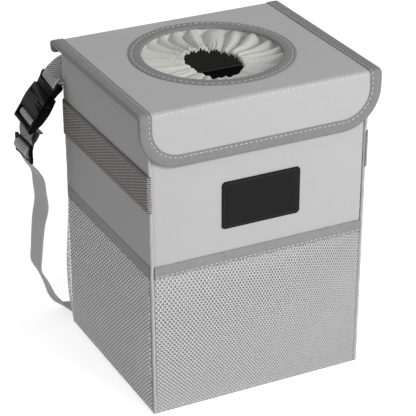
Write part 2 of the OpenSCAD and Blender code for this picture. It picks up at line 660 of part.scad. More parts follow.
// Lid: flat layers round the hole, with a rolled fold along the front and the back
module lid_layer(z, t, inset) {
  translate([0, 0, z]) linear_extrude(t) difference() {
    translate([-half_lid + inset, lid_front_y])
      square([2 * (half_lid - inset), lid_back_y - lid_front_y]);
    translate([hole_x, hole_y]) circle(r = hole_r);
  }
}
module lid_panel() {
  color("silver") {
    lid_layer(lid_fabric_z, lid_fabric_t, 0);
    for (y = [fold_y, hinge_y]) translate([0, y, fold_z]) rotate([0, 90, 0])
      cylinder(r = roll_r, h = 2 * half_lid, center = true);
    // The fabric runs on into each fold
    for (y = [[fold_y, lid_front_y], [lid_back_y, hinge_y]])
      translate([-half_lid, y[0], lid_fabric_z]) cube([2 * half_lid, y[1] - y[0], roll_r / 2]);
  }
}
module lid_board() { color("tan") lid_layer(lid_board_z, lid_board_t, 0); }
module lid_lining() { color("dimgray") lid_layer(lid_under_z, lid_lining_t, 0); }
// Tape wrapped round a side edge of the lid
module lid_tape(s) {
  color("dimgray") mirror([s > 0 ? 1 : 0, 0, 0])
    translate([0, lid_back_y, 0]) rotate([90, 0, 0]) linear_extrude(lid_back_y - lid_front_y)
      polygon([[-half_lid + tape_w - tape_t, lid_top_z], [-half_lid + tape_w - tape_t, lid_top_z + tape_t],
        [-half_lid, lid_top_z + tape_t], [-half_lid - tape_t, lid_top_z],
        [-half_lid - tape_t, lid_under_z], [-half_lid, lid_under_z - tape_t],
        [-under_tape_x, lid_under_z - tape_t], [-under_tape_x, lid_under_z],
        [-half_lid, lid_under_z], [-half_lid, lid_top_z]]);
}
module left_lid_binding() { lid_tape(-1); }
module right_lid_binding() { lid_tape(1); }
module hole_ring() {
  color("dimgray") translate([hole_x, hole_y, lid_top_z]) rotate_extrude($fn = 128)
    polygon([[ring_in_r, -tape_t], [ring_in_r + tape_t, -tape_t], [ring_in_r + tape_t, 0],
      [ring_out_r, 0], [ring_out_r, tape_t * 0.7], [ring_out_r - 0.4, tape_t],
      [ring_in_r + 0.4, tape_t], [ring_in_r, tape_t * 0.6]]);
}

// Cuff: cloth gathered from under the ring of tape in to the elastic
cuff_out_r = hole_r - 0.15;
cuff_steps = 4;
cuff_rings = 8;
cuff_top_z = lid_top_z - tape_t - cuff_t - 0.5;
// Rise of the cloth between the ring and the opening
cuff_puff = 0.9;
// Point of the cuff: t runs from 0 at the ring to 1 at the opening, the gathers grow with it, and
// the cloth rises a little in a puff before it falls away to the opening
function cuff_point(ring, step, deep) =
  let (t = ring / cuff_rings, a = 360 * step / (cuff_gathers * cuff_steps),
    wave = cuff_wave * pow(t, 0.8) * sin(360 * step / cuff_steps + 45),
    r = mix(cuff_out_r, cuff_r, t) + (ring == cuff_rings ? 0.4 * wave : 0),
    z = cuff_top_z - (cuff_drop - tape_t - cuff_t) * pow(t, 1.8) + cuff_puff * sin(180 * pow(t, 0.6)))
  [hole_x + r * cos(a), hole_y + r * sin(a), z + wave - deep * cuff_t];
module cuff() {
  around = cuff_gathers * cuff_steps;
  layer = around * (cuff_rings + 1);
  points = [for (deep = [0, 1], i = [0:cuff_rings], k = [0:around - 1]) cuff_point(i, k, deep)];
  top = [for (i = [0:cuff_rings - 1], k = [0:around - 1])
    let (m = (k + 1) % around, a = i * around + k, b = i * around + m)
      for (f = [[a, b, b + around], [a, b + around, a + around]]) f];
  rims = [for (k = [0:around - 1]) let (m = (k + 1) % around, e = cuff_rings * around)
    for (f = [[k, k + layer, m + layer], [k, m + layer, m],
      [e + k, e + m, e + m + layer], [e + k, e + m + layer, e + k + layer]]) f];
  color("linen") polyhedron(points,
    concat(top, [for (f = top) [f[0] + layer, f[2] + layer, f[1] + layer]], rims));
}
module cuff_elastic() {
  hem_z = min([for (k = [1:cuff_steps]) cuff_point(cuff_rings, k, 1).z]);
  color("white") translate([hole_x, hole_y, hem_z - clear - elastic_d / 2]) rotate_extrude()
    translate([cuff_r + elastic_d / 2, 0]) circle(d = elastic_d, $fn = 16);
}

// Flap outline from height top down, with round lower corners, inset from its edge
module flap_outline(inset, top) {
  r = flap_r - inset;
  w = half_lid - inset;
  low = flap_low_z + inset;
  polygon(concat([[w, top], [-w, top]], arc([r - w, low + r], r, 180, 270, 10),
    arc([w - r, low + r], r, 270, 360, 10)));
}
module flap_panel() {
  color("silver") upright(flap_out_y, lid_fabric_t) flap_outline(0, flap_top_z);
}
module flap_board() {
  color("tan") upright(flap_panel_y, flap_board_t) flap_outline(0, flap_top_z);
}
module flap_lining() {
  color("dimgray") upright(flap_board_y, flap_lining_t) flap_outline(0, flap_top_z);
}
module flap_binding() {
  color("dimgray") union() {
    upright(flap_out_y - tape_t, tape_t) difference() {
      flap_outline(0, flap_top_z);
      flap_outline(tape_w - tape_t, flap_top_z + 1);
    }
    // The leg behind the flap ends below the tape under the lid
    upright(flap_in_y, tape_t) difference() {
      flap_outline(0, flap_top_z - 1);
      flap_outline(tape_w - tape_t, flap_top_z + 1);
    }
    // Round the edge, set in from both faces of the tape
    upright(flap_out_y - tape_t + clear, flap_in_y - flap_out_y + 0.6) difference() {
      flap_outline(-tape_t, flap_top_z);
      flap_outline(0, flap_top_z + 1);
    }
  }
}

front_panel();
back_panel();
left_panel();
right_panel();
bottom_panel();
front_board();
back_board();
left_board();
right_board();
base_board();
waterproof_liner();
inner_facing();
rim_binding();
front_pocket_mesh();
left_pocket_mesh();
right_pocket_mesh();
front_pocket_band();
left_pocket_band();
right_pocket_band();
left_webbing();
right_webbing();
front_patch();
loop_strip();
back_lip();
back_lip_binding();
left_anchor();
right_anchor();
strap_upper();
buckle_male();
buckle_female();
strap_loop();
slider();
strap_lower();
lid_panel();
lid_board();
lid_lining();
left_lid_binding();
right_lid_binding();
hole_ring();
cuff();
cuff_elastic();
flap_panel();
flap_board();
flap_lining();
flap_binding();
hook_strip();
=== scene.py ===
"""Car trash bin: the look of every piece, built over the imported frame. Shapes are worked out in
millimetres and made in metres, +Z up, front towards -Y, origin in the middle of the base."""

import bmesh
import bpy
import numpy as np
from mathutils import Matrix, Vector


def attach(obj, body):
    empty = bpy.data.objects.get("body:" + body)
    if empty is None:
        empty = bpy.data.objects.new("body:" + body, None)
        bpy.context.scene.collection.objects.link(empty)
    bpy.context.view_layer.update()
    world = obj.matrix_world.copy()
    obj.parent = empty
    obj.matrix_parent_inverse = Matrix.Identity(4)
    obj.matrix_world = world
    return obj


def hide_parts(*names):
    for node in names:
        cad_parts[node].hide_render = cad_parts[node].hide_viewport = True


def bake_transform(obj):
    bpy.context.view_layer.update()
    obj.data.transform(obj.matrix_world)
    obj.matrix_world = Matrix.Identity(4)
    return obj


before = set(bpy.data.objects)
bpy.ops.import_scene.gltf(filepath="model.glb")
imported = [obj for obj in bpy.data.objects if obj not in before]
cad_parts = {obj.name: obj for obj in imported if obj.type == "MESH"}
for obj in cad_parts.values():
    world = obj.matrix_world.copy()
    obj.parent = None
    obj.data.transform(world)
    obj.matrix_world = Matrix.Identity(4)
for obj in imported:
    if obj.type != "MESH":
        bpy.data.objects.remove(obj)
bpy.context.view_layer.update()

scene = bpy.context.scene
scene.view_settings.view_transform = "Standard"

# Camera.
# Long lens at the front left, above the bin; its place was solved from the photograph.
lens = bpy.data.cameras.new("camera")
lens.lens, lens.sensor_width = 160.27, 36.0


def placed(name, data):
    """A new object in the scene, with that data."""
    thing = bpy.data.objects.new(name, data)
    scene.collection.objects.link(thing)
    return thing


camera = placed("camera", lens)
right, up = Vector((0.894515, -0.447038, 0.0)), Vector((0.20069, 0.40141, 0.89364))
camera.matrix_world = (Matrix.Translation((-0.57775, -1.14844, 0.76492))
                       @ Matrix((right, up, right.cross(up))).transposed().to_4x4())
scene.camera = camera


# Shader graphs.
# Shader maths is written as arithmetic on wires, and every other node comes from Finish.node.
TAU = 2 * np.pi


class Wire:
    """One output of a material's graph; arithmetic on wires adds its Math nodes."""

    def __init__(self, finish, socket):
        self.finish, self.socket = finish, socket

    def maths(self, operation, *values):
        return self.finish.node("Math", {"operation": operation}, dict(enumerate(values)))

    def __add__(self, other): return self.maths("ADD", self, other)
    def __sub__(self, other): return self.maths("SUBTRACT", self, other)
    def __rsub__(self, other): return self.maths("SUBTRACT", other, self)
    def __mul__(self, other): return self.maths("MULTIPLY", self, other)
    def sine(self): return self.maths("SINE", self)
    def size(self): return self.maths("ABSOLUTE", self)

    def wave(self, length):
        """A sine from 0 to 1 that repeats at that length."""
        return (self * (TAU / length)).sine() * 0.5 + 0.5

    def between(self, low, high):
        """0 below low, 1 above high and smooth between."""
        return self.finish.node("MapRange", {"interpolation_type": "SMOOTHSTEP"},
                                {"Value": self, "From Min": low, "From Max": high})


class Finish:
    """A material's graph round its principled shader."""

    def __init__(self, name, **sockets):
        self.material = bpy.data.materials.new(name)
        self.material.use_nodes = True
        self.tree = self.material.node_tree
        self.shader = self.tree.nodes["Principled BSDF"]
        self.set(**sockets)

    def plug(self, value, socket):
        if isinstance(value, Wire):
            self.tree.links.new(value.socket, socket)
        else:
            socket.default_value = value

    def node(self, kind, settings=None, values=None, out=0):
        """Adds a node of that type: settings first, then values or wires into its sockets."""
        made = self.tree.nodes.new("ShaderNode" + kind)
        for key, value in (settings or {}).items():
            setattr(made, key, value)
        for key, value in (values or {}).items():
            self.plug(value, made.inputs[key])
        return Wire(self, made.outputs[out])

    def set(self, **sockets):
        """Values or wires for the principled shader; an underscore stands for a space."""
        for key, value in sockets.items():
            self.plug(value, self.shader.inputs[key.replace("_", " ")])

    def shade(self, share, low, high):
        """Colour between low and high, each a grey or red, green and blue."""
        low, high = ((c,) * 3 if isinstance(c, float) else c for c in (low, high))
        return self.node("Mix", {"data_type": "RGBA"},
                         {0: share, 6: (*low, 1.0), 7: (*high, 1.0)}, out=2)

    def paint(self, share, low, high):
        self.set(Base_Color=self.shade(share, low, high))
        return self

    def tint(self, share, colour, spread):
        """Paints between the colour less and more that part of itself."""
        return self.paint(share, *([c * (1 + s * spread) for c in colour] for s in (-1, 1)))

    def along(self):
        """The cloth's own two directions in millimetres, from its UV map."""
        uv = self.node("TexCoord", out=2)
        parts = self.node("SeparateXYZ", values={0: uv})
        return parts, Wire(self, parts.socket.node.outputs[1])

    def noise(self, scale, vector=None, detail=2.0, rough=0.5):
        """Noise from 0 to 1, scale per metre on Object coordinates unless a vector is given."""
        if vector is None:
            vector = self.node("TexCoord", out=3)
        return self.node("TexNoise", {}, {"Vector": vector, "Scale": scale, "Detail": detail,
                                          "Roughness": rough})

    def streaks(self, u, v, wide, long):
        """Noise drawn out along v: wide and long are the streaks' sizes in millimetres."""
        at = self.node("CombineXYZ", values={0: u * (1 / wide), 1: v * (1 / long)})
        return self.noise(1.0, at, 2.0)

    def bumped(self, height, depth):
        """Raises the surface by height, of 0 to 1, times depth in millimetres."""
        self.set(Normal=self.node("Bump", {}, {"Height": height, "Distance": depth / 1000,
                                               "Strength": 1.0}))
        return self


def mottled(name, scale, low, high, **sockets):
    """Finish whose colour wavers between low and high by noise, scale per metre."""
    finish = Finish(name, **sockets)
    return finish.paint(finish.noise(scale), low, high)


# Floor and light.
# Plain pale floor, one broad lamp to the front right and an even white room, as in a studio.
floor_mesh = bpy.data.meshes.new("floor")
floor_mesh.from_pydata([(-4, -4, -0.0004), (4, -4, -0.0004), (4, 4, -0.0004), (-4, 4, -0.0004)],
                       [], [(0, 1, 2, 3)])
placed("floor", floor_mesh)
paper = Finish("floor_paper", Base_Color=(0.82, 0.82, 0.82, 1), Roughness=0.9)


def seen_directly(finish):
    """1 for rays from the camera, from gloss and through glass, otherwise 0."""
    path = finish.tree.nodes.new("ShaderNodeLightPath")
    camera_ray, gloss, through = (Wire(finish, path.outputs["Is %s Ray" % kind])
                                  for kind in ("Camera", "Glossy", "Transmission"))
    return through.maths("MAXIMUM", camera_ray.maths("MAXIMUM", camera_ray, gloss), through)


glow = paper.node("Emission", {}, {"Color": (1, 1, 1, 1), "Strength": 0.66})
unlit = Wire(paper, paper.shader.outputs[0])
lit = paper.node("AddShader", {}, {0: unlit, 1: glow})
plain = paper.node("MixShader", {}, {0: seen_directly(paper), 1: unlit, 2: lit})
paper.plug(plain, paper.tree.nodes["Material Output"].inputs["Surface"])
floor_mesh.materials.append(paper.material)


class Room(Finish):
    """The world's graph: one background for light, a white one for what is seen."""

    def __init__(self):
        self.world = bpy.data.worlds.new("room")
        self.world.use_nodes = True
        self.tree = self.world.node_tree


room = Room()
scene.world = room.world
room.tree.nodes.clear()
soft_light = room.node("Background", {}, {"Color": (1, 1, 1, 1), "Strength": 0.445})
white = room.node("Background", {}, {"Color": (1, 1, 1, 1), "Strength": 1.0})
both = room.node("MixShader", {}, {0: seen_directly(room), 1: soft_light, 2: white})
output = room.tree.nodes.new("ShaderNodeOutputWorld")
room.plug(both, output.inputs["Surface"])

lamp = bpy.data.lights.new("key", "AREA")
lamp.energy, lamp.size = 29.5, 0.9
lamp_at, aim = Vector((0.75, -1.9, 1.05)), Vector((0, 0, 0.12))
placed("key", lamp).matrix_world = (
    Matrix.Translation(lamp_at) @ (aim - lamp_at).to_track_quat("-Z", "Y").to_matrix().to_4x4())


# Front and back cloth.
# Light grey plain-woven polyester, cut flat, stretched over the stiff boards and sewn into the
# corner seams, which pull it into small puckers along its edges.
MM = 0.001
SIDES, ENDS = ((-1, "left"), (1, "right")), ((-1, "front"), (1, "back"))
half_d, panel_y, rim_z = 78.5, 77.5, 244.7
cloth_t, cloth_high, seam_in = 0.8, rim_z - 1.4, 2.9


def joined(*parts):
    """Points from their coordinates; numbers and lines are repeated to fit the others."""
    return np.stack(np.broadcast_arrays(*parts), -1)


def unit(vectors):
    """The vectors, each divided by its length."""
    return vectors / np.maximum(np.linalg.norm(vectors, axis=-1, keepdims=True), 1e-9)


def half_w(z):
    """Half the body's width at height z: the sides lean out by 1.8 mm from the floor to the rim."""
    return 88.2 + 1.8 * z / rim_z


def ripple(a, b, length, seed=0):
    """Unevenness from -1 to 1: four sine waves of about that length, in seeded directions."""
    total = 0.0
    for turn, phase, stretch in np.random.default_rng(seed).uniform(0, 1, (4, 3)):
        swing = (a * np.cos(TAU * turn) + b * np.sin(TAU * turn)) / length
        total = total + np.sin(TAU * (swing * (0.7 + 0.6 * stretch) + phase))
    return total / 4


def quads(rows, cols, wrap_rows, wrap_cols):
    """Faces between neighbouring points of a grid that is numbered row by row."""
    i = np.arange(rows if wrap_rows else rows - 1)[:, None]
    j = np.arange(cols if wrap_cols else cols - 1)
    low, high, far = i * cols, (i + 1) % rows * cols, (j + 1) % cols
    return joined(low + j, low + far, high + far, high + j).reshape(-1, 4)


def cloth(grid, thickness, wrap):
    """Points and faces of a closed sheet: the outer grid, the same grid moved inwards by the
    thickness, and rims between their open edges. Inwards is against the slope along the columns
    crossed with the slope along the rows; wrap joins the last column to the first."""
    rows, cols = grid.shape[:2]
    slope = np.roll(grid, -1, 1) - np.roll(grid, 1, 1) if wrap else np.gradient(grid, axis=1)
    inner = grid - thickness * unit(np.cross(slope, np.gradient(grid, axis=0)))
    ids, below = np.arange(rows * cols).reshape(rows, cols), rows * cols
    edges = [ids[0], ids[-1, ::-1]] if wrap else [ids[0], ids[-1, ::-1], ids[::-1, 0], ids[:, -1]]
    faces = quads(rows, cols, False, wrap)
    rims = []
    for line in edges:
        line = np.append(line, line[0]) if wrap else line
        rims.append(joined(line[:-1], line[:-1] + below, line[1:] + below, line[1:]))
    return (np.concatenate([grid.reshape(-1, 3), inner.reshape(-1, 3)]),
            np.concatenate([faces, faces[:, ::-1] + below] + rims))


def hang(name, mesh, finish, body, nodes):
    """Paints a mesh and hangs it on its body in place of its CAD nodes."""
    mesh.materials.clear()
    mesh.materials.append(finish.material)
    thing = placed(name, mesh)
    if body:
        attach(thing, body)
    if nodes:
        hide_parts(*nodes)
    return thing


def piece(name, points, faces, finish, body, slot, nodes=(), uv=None, sharp=50):
    """Makes and hangs a piece from points in millimetres: faces turned outwards, smooth except
    at edges sharper than that angle."""
    mesh = bpy.data.meshes.new(name)
    mesh.from_pydata((np.reshape(points, (-1, 3)) * MM).tolist(), [],
                     [list(map(int, f)) for f in faces])
    if uv is not None:
        spots = np.empty(len(mesh.loops), int)
        mesh.loops.foreach_get("vertex_index", spots)
        mesh.uv_layers.new(name="cloth").data.foreach_set("uv", uv.reshape(-1, 2)[spots].ravel())
    shape = bmesh.new()
    shape.from_mesh(mesh)
    bmesh.ops.remove_doubles(shape, verts=shape.verts, dist=1e-6)
    bmesh.ops.dissolve_degenerate(shape, dist=1e-7, edges=shape.edges)
    if shape.calc_volume(signed=True) < 0:
        bmesh.ops.reverse_faces(shape, faces=shape.faces)
    shape.to_mesh(mesh)
    shape.free()
    mesh.polygons.foreach_set("use_smooth", np.ones(len(mesh.polygons), bool))
    mesh.set_sharp_from_angle(angle=np.radians(sharp))
    return hang(name, mesh, finish, body, nodes)


def sheet_piece(name, grid, thickness, finish, body, slot, nodes, uv, wrap=False, **sheet):
    """A cloth piece from its outer grid; uv says where on the flat cloth each point lies."""
    thing = piece(name, *cloth(grid, thickness, wrap), finish, body, slot, nodes,
                  np.concatenate([uv.reshape(-1, 2)] * 2))
    return thing


def woven(name, colour, thread=0.6, depth=0.05, slub=0.05, **sockets):
    """Plain weave on the cloth's UV: threads cross as the product of two sines, with drawn-out
    streaks where a thread is thicker and a slow drift in tone."""
    finish = Finish(name, **{"Roughness": 0.82, "Specular_IOR_Level": 0.3, **sockets})
    u, v = finish.along()
    crossing = (u * (np.pi / thread)).sine() * (v * (np.pi / thread)).sine() * 0.5 + 0.5
    warp, weft = finish.streaks(u, v, 0.7, 22), finish.streaks(v, u, 0.7, 22)
    tone = (warp + weft) * 0.35 + finish.noise(14.0) * 0.2 + crossing * 0.1
    finish.tint(tone, colour, slub * 2.2)
    return finish.bumped(crossing * 0.6 + (warp + weft) * 0.5, depth)


shell_cloth = woven("shell_cloth", (0.52, 0.52, 0.52))
# The same cloth as shell_cloth, painted darker: painted shade, for the sides lie in shade.
painted_shade_side_cloth = woven("painted_shade_side_cloth", (0.43, 0.43, 0.43))

u, z = np.meshgrid(np.linspace(-1, 1, 120), np.linspace(cloth_t, cloth_high, 130))
x = u * (half_w(z) - seam_in)
edge = half_w(z) - seam_in - np.abs(x)
pucker = 0.10 * np.exp(-edge / 5) * np.sin(TAU * z / 7.3 + 2 * np.sin(z / 31))
swell = (0.22 * (1 - u ** 6) * np.sin(np.pi * z / rim_z) + 0.12 * ripple(x, z, 90, 3) + pucker
         - 0.6 * np.exp(-edge / 0.9))
for e, end in ENDS:
    grid = joined(-e * x, e * (panel_y + swell - 0.1), z)
    sheet_piece(end + "_cloth", grid, cloth_t, shell_cloth, "root", "shell_fabric",
                [end + "_panel"], joined(x, z), flat=(0.175, 0.244), held="stretched",
                rests_on=[end + "_board"])


# Sides and corner rolls.
# The side cloth is the front and back cloth, painted darker as painted shade for the shaded
# sides. At each corner it is rolled over the front or back cloth and sewn through, which leaves a
# round ridge from the floor up to the rim's tape.
roll_r = 1.3


def on_side(s, out, y, z):
    """Point on the left (s = -1) or right side, out millimetres outside its leaning plane."""
    return joined(s * (half_w(z) + out), y, z)


def swept(path, out, across, profile, closed=False):
    """Carries a closed profile of (out, across) pairs along a path; its ends are filled."""
    profile = np.broadcast_to(profile, (len(path), *profile.shape[-2:]))
    out, across = (np.broadcast_to(v, path.shape)[:, None] for v in (out, across))
    grid = path[:, None] + out * profile[..., :1] + across * profile[..., 1:]
    rows, cols = grid.shape[:2]
    faces = quads(rows, cols, closed, True).tolist()
    if not closed:
        faces += [list(range(cols))[::-1], list(range((rows - 1) * cols, rows * cols))]
    return grid, faces


def circle(points):
    """That many angles, evenly round a circle."""
    return np.linspace(0, TAU, points, endpoint=False)


def rays(angles):
    """Directions in a plane: the angles' cosines and sines."""
    return joined(np.cos(angles), np.sin(angles))


side_end = 75.9
y, z = np.meshgrid(np.linspace(-side_end, side_end, 110), np.linspace(cloth_t, cloth_high, 130))
give = (0.12 * np.exp((np.abs(y) - side_end) / 5) * np.sin(TAU * z / 6.9 + np.sin(z / 23))
        + 0.25 * (1 - (y / 76) ** 6) + 0.15 * ripple(y, z, 80, 8))
tall = np.linspace(cloth_t, 236.5, 160)
for s, side in SIDES:
    sheet_piece(side + "_cloth", on_side(s, -0.6 + give, s * y, z), cloth_t, painted_shade_side_cloth, "root",
                "side_fabric", [side + "_panel"], joined(y, z), flat=(0.157, 0.244),
                held="stretched", rests_on=[side + "_board"])
    for e, end in ENDS:
        sway = 0.08 * np.sin(tall / 5.1 + 2 * e) + 0.06 * np.sin(tall / 2.3)
        path = on_side(s, -roll_r + sway,
                       e * (half_d - roll_r) + e * 0.06 * np.sin(tall / 3.7 + s), tall)
        piece("%s_%s_roll" % (side, end),
              *swept(path, (s, 0, 0), (0, 1, 0), roll_r * rays(circle(14))), shell_cloth, "root",
              "shell_fabric", uv=joined(circle(14) * roll_r, tall[:, None]))

# Base cloth.
# One plain piece of the side cloth closes the bin underneath, sewn in all round.
base_x, base_y = 87.4, 77.3
x, y = np.meshgrid(np.linspace(-base_x, base_x, 40), np.linspace(base_y, -base_y, 36))
puff = 0.25 * (1 - (x / base_x) ** 4) * (1 - (y / base_y) ** 4)
sheet_piece("base_cloth", joined(x, y, puff), cloth_t - 0.2, painted_shade_side_cloth, "root", "side_fabric",
            ["bottom_panel"], joined(x, y), flat=(0.175, 0.155), held="stretched",
            rests_on=["base_board"])

# Binding tape.
# Grey grosgrain tape: fine ribs across its length, a woven edge on both sides, folded over a raw
# edge and sewn down along its inner edge with a light thread.


def ribbed(name, colour, rib=0.75, depth=0.12):
    """Ribs across the tape as a sine along its length, with fine weft and a slow drift."""
    finish = Finish(name, Roughness=0.75, Specular_IOR_Level=0.35)
    u, v = finish.along()
    ribs, weft = v.wave(rib), u.wave(0.55)
    tone = ribs * 0.35 + weft * 0.1 + finish.noise(220.0) * 0.35 + finish.noise(12.0) * 0.2
    finish.tint(tone, colour, 0.32)
    return finish.bumped(ribs * 0.7 + weft * 0.3, depth)


tape = ribbed("tape", (0.255, 0.255, 0.255))
tape_w, stitch_in, stitch_up = 9.2, 2.2, 0.42
thread = mottled("thread", 600.0, 0.66, 0.84, Roughness=0.55, Specular_IOR_Level=0.4)
grey_thread = mottled("grey_thread", 600.0, 0.34, 0.46, Roughness=0.6)
dark_thread = mottled("dark_thread", 600.0, 0.008, 0.03, Roughness=0.6)


def run_of(path):
    """Distance of each point of a path from its start, along the path."""
    return np.concatenate([[0], np.cumsum(np.linalg.norm(np.diff(path, axis=0), axis=1))])


def along_path(path, at, values=None):
    """The path's points, or values given for them, at those distances from its start."""
    values = np.broadcast_to(path if values is None else values, path.shape)
    return joined(*(np.interp(at, run_of(path), values[:, k]) for k in range(3)))


def stitches(name, path, out, body, pitch=4.0, dash=2.6, thick=0.23, finish=None,
             slot="strap_webbing"):
    """Dashes of thread along a path: each is a tube that swells from its ends to the middle,
    height thick * sqrt(1 - s^4) above the path, s from -1 to 1 along the dash."""
    rounds, corners, length = 7, 6, run_of(path)[-1]
    count = max(1, int(length / pitch))
    s = np.linspace(-1, 1, rounds)
    at = (np.arange(count)[:, None] + 0.5) * length / count + s * dash / 2
    spine, up = along_path(path, at), along_path(path, at, out)
    side = unit(np.cross(unit(np.gradient(spine, axis=1)), up))[..., None, :]
    up, swell = up[..., None, :], ((1 - s ** 4 * 0.97) ** 0.5)[:, None, None]
    turn = circle(corners)[:, None]
    ring = side * np.cos(turn) * 1.25 + up * np.sin(turn)
    grid = spine[..., None, :] + ring * thick * swell + up * thick * (swell - 0.75)
    first = np.arange(count)[:, None, None] * rounds * corners
    faces = (quads(rounds, corners, False, True) + first).reshape(-1, 4).tolist()
    ends = np.array([range(corners)[::-1], range((rounds - 1) * corners, rounds * corners)])
    faces += (ends + first).reshape(-1, corners).tolist()
    return piece(name, grid, faces, finish or thread, body, slot)


def edge_tape(name, path, out, across, body, nodes, width, sandwich, leg, closed=False):
    """Tape folded round an edge: path runs along the edge at the cloth's outer face. Its profile
    goes over the face (width wide, with a groove where it is sewn), round the sandwich of cloth
    and board, and back under it for leg. The three may change along the path."""
    wide, thick, back = (np.broadcast_to(v, len(path)) for v in (width, sandwich, leg))
    run = run_of(path)
    tuck = 0.07 * np.sin(TAU * run / 4.0) + 0.04 * np.sin(run / 5.3)
    outs = joined(0, 0.5, 0.7, 0.68, 0.42 + tuck, 0.68, 0.76, 0.74, 0.58, 0.15, -thick / 2,
                  -thick - 0.15, -thick - 0.55, -thick - 0.7, -thick - 0.7, -thick, -thick, 0)
    ins = joined(wide, wide + 0.05, wide - 0.35, wide - 1.0, wide - stitch_in, wide - 2.4,
                 wide * 0.55, 1.5, 0.1, -0.5, -0.72, -0.5, 0.1, 1.2, back, back, 0.1, 0.1)
    profile = joined(outs, ins)
    return piece(name, *swept(path, out, across, profile, closed), tape, body, "tape", nodes,
                 joined(run_of(profile[0]), run[:, None]))


# Lid and flap.
# One light grey cloth covers the lid, turns down over the stitched crease and hangs as the front
# flap; behind, its tail is sewn to the back. Bound in tape all round.
lid_top, half_lid, cloth_in = 247.6, 97.3, 0.4
front_strip_y, back_strip_y, flap_low, flap_r = -64.0, 69.0, 204.2, 31.0
hole_x, hole_y, hole_r, lip_low, lip_r, flap_back = 1.2, 3.0, 58.0, 238.3, 3.6, -79.7


def lid_give(x, y):
    """Slight unevenness of the cloth over the lid's board, in mm."""
    return 0.2 * ripple(x, y, 120, 21) + 0.05 * ripple(x, y, 31, 5)


way = rays(-circle(240))


def to_edge(wide, front, back):
    """Distance from the hole's middle to the edge of a rectangle, in each direction of way."""
    along_x = np.where(way[:, 0] > 0, wide - hole_x, wide + hole_x)
    along_y = np.where(way[:, 1] > 0, back - hole_y, hole_y - front)
    return np.minimum(along_x / np.maximum(np.abs(way[:, 0]), 1e-6),
                      along_y / np.maximum(np.abs(way[:, 1]), 1e-6))


def round_hole(inner, *edges):
    """X and Y of a cloth from a circle of radius inner round the hole out to a rectangle."""
    radius = inner + (to_edge(*edges) - inner) * np.linspace(0, 1, 24)[:, None]
    return hole_x + way[:, 0] * radius, hole_y + way[:, 1] * radius


x, y = round_hole(57.0, half_lid - cloth_in, front_strip_y, back_strip_y)
sheet_piece("lid_cloth", joined(x, y, lid_top + lid_give(x, y)), 0.8, shell_cloth, "lid",
            "shell_fabric", ["lid_panel"], joined(x, y), True, flat=(0.196, 0.135), area=0.0158,
            held="stretched", rests_on=["lid_board"])


def corner_width(z, low, r):
    """Half width at height z of an outline with round lower corners of radius r."""
    rise = np.clip(low + r - z, 0, r)
    return half_lid - r + np.sqrt(np.maximum(r * r - rise * rise, 0))


def section(y_from, fold, r, y_flat, z_low, steps):
    """Side view of the cloth from the lid over its fold and down, as (y, z) pairs, front or back
    by the sign of y: along the top, a quarter circle of radius r, then down to z_low."""
    s = np.sign(y_flat)
    a = np.linspace(0, np.pi / 2, 9)
    top = joined(np.linspace(y_from, fold, 12), lid_top)
    bend = joined(fold + s * r * np.sin(a), lid_top - r + r * np.cos(a))
    end = z_low + (lid_top - r - z_low) * (1 - np.linspace(0, 1, steps)) ** 1.6
    down = joined(y_flat + (bend[-1, 0] - y_flat) * np.exp(-(end[0] - end) / 1.5), end)
    return np.concatenate([top, bend[1:], down[1:]])


front_side = section(front_strip_y, -77.9, 3.8, -81.7, flap_low + 0.3, 70)
y, z = front_side[:, :1], front_side[:, 1:]
wide = np.where(z > 238, half_lid, corner_width(z, flap_low, flap_r)) - cloth_in
x = np.linspace(-1, 1, 150) * wide
free = np.clip((246 - z) / 12, 0, 1)
lift = (1 - free) * lid_give(x, np.maximum(y, front_strip_y)) * np.clip((y + 77) / 3, 0, 1)
bow = free * (0.25 * ripple(x, z, 100, 31) + 0.35 * np.cos(np.clip(x / 97, -1, 1) * np.pi / 2))
flap_cloth = sheet_piece("flap_cloth", joined(x, y - bow, z + lift)[::-1], 0.7, shell_cloth, None,
                         "shell_fabric", ["flap_panel"],
                         joined(x, front_strip_y - run_of(front_side)[:, None])[::-1],
                         flat=(0.195, 0.060), held="stretched", rests_on=["flap_board"])
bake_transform(flap_cloth)

back_side = section(back_strip_y, 77.9, 2.5, 79.5, 238.6, 14)
y, z = back_side[:, :1], back_side[:, 1:]
wide = np.where(z > 244, half_lid, corner_width(z, lip_low, lip_r)) - cloth_in
x = np.linspace(1, -1, 100) * wide
lift = lid_give(x, y) * np.clip((77 - y) / 3, 0, 1)
lip_cloth = sheet_piece("lip_cloth", joined(x, y, z + lift)[::-1], 0.7, shell_cloth, None,
                        "shell_fabric", ["back_lip"],
                        joined(x, back_strip_y + run_of(back_side)[:, None])[::-1],
                        flat=(0.195, 0.023), held="stretched", rests_on=["back_board"])
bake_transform(lip_cloth)


def bound_edge(side_view, low, r):
    """The edge that the tape follows: down one side of the side view, round the lower corners of
    radius r and up the other side, with the directions out of the cloth and in from the edge."""
    def both_sides(down, corner, bottom):
        down = np.concatenate([down, corner])
        return np.concatenate([down, bottom, down[::-1] * [-1.0, 1.0, 1.0]])
    y, z = side_view[side_view[:, 1] > low + r].T
    out = joined(0, np.gradient(z), -np.gradient(y))
    out *= np.sign(out[0, 2])
    a = np.linspace(np.pi, 1.5 * np.pi, 24)[1:]
    flat_y = side_view[-1, 0]
    corner = joined(r - half_lid + r * np.cos(a), flat_y, low + r + r * np.sin(a))
    bottom = joined(np.linspace(r - half_lid, half_lid - r, 70)[1:-1], flat_y, corner[-1, 2])
    away = np.array([0.0, np.sign(flat_y), 0.0])
    return (both_sides(joined(-half_lid, y, z), corner, bottom),
            both_sides(unit(out), 0 * corner + away, 0 * bottom + away),
            both_sides(0 * out + [1.0, 0, 0], joined(-np.cos(a), 0, -np.sin(a)),
                       0 * bottom + [0, 0, 1.0]))


def inside(path, out, across, lift, width):
    """The line of stitches on a tape: lift above the cloth and width in from its edge."""
    return path + out * lift + across * np.broadcast_to(width, len(path))[:, None]


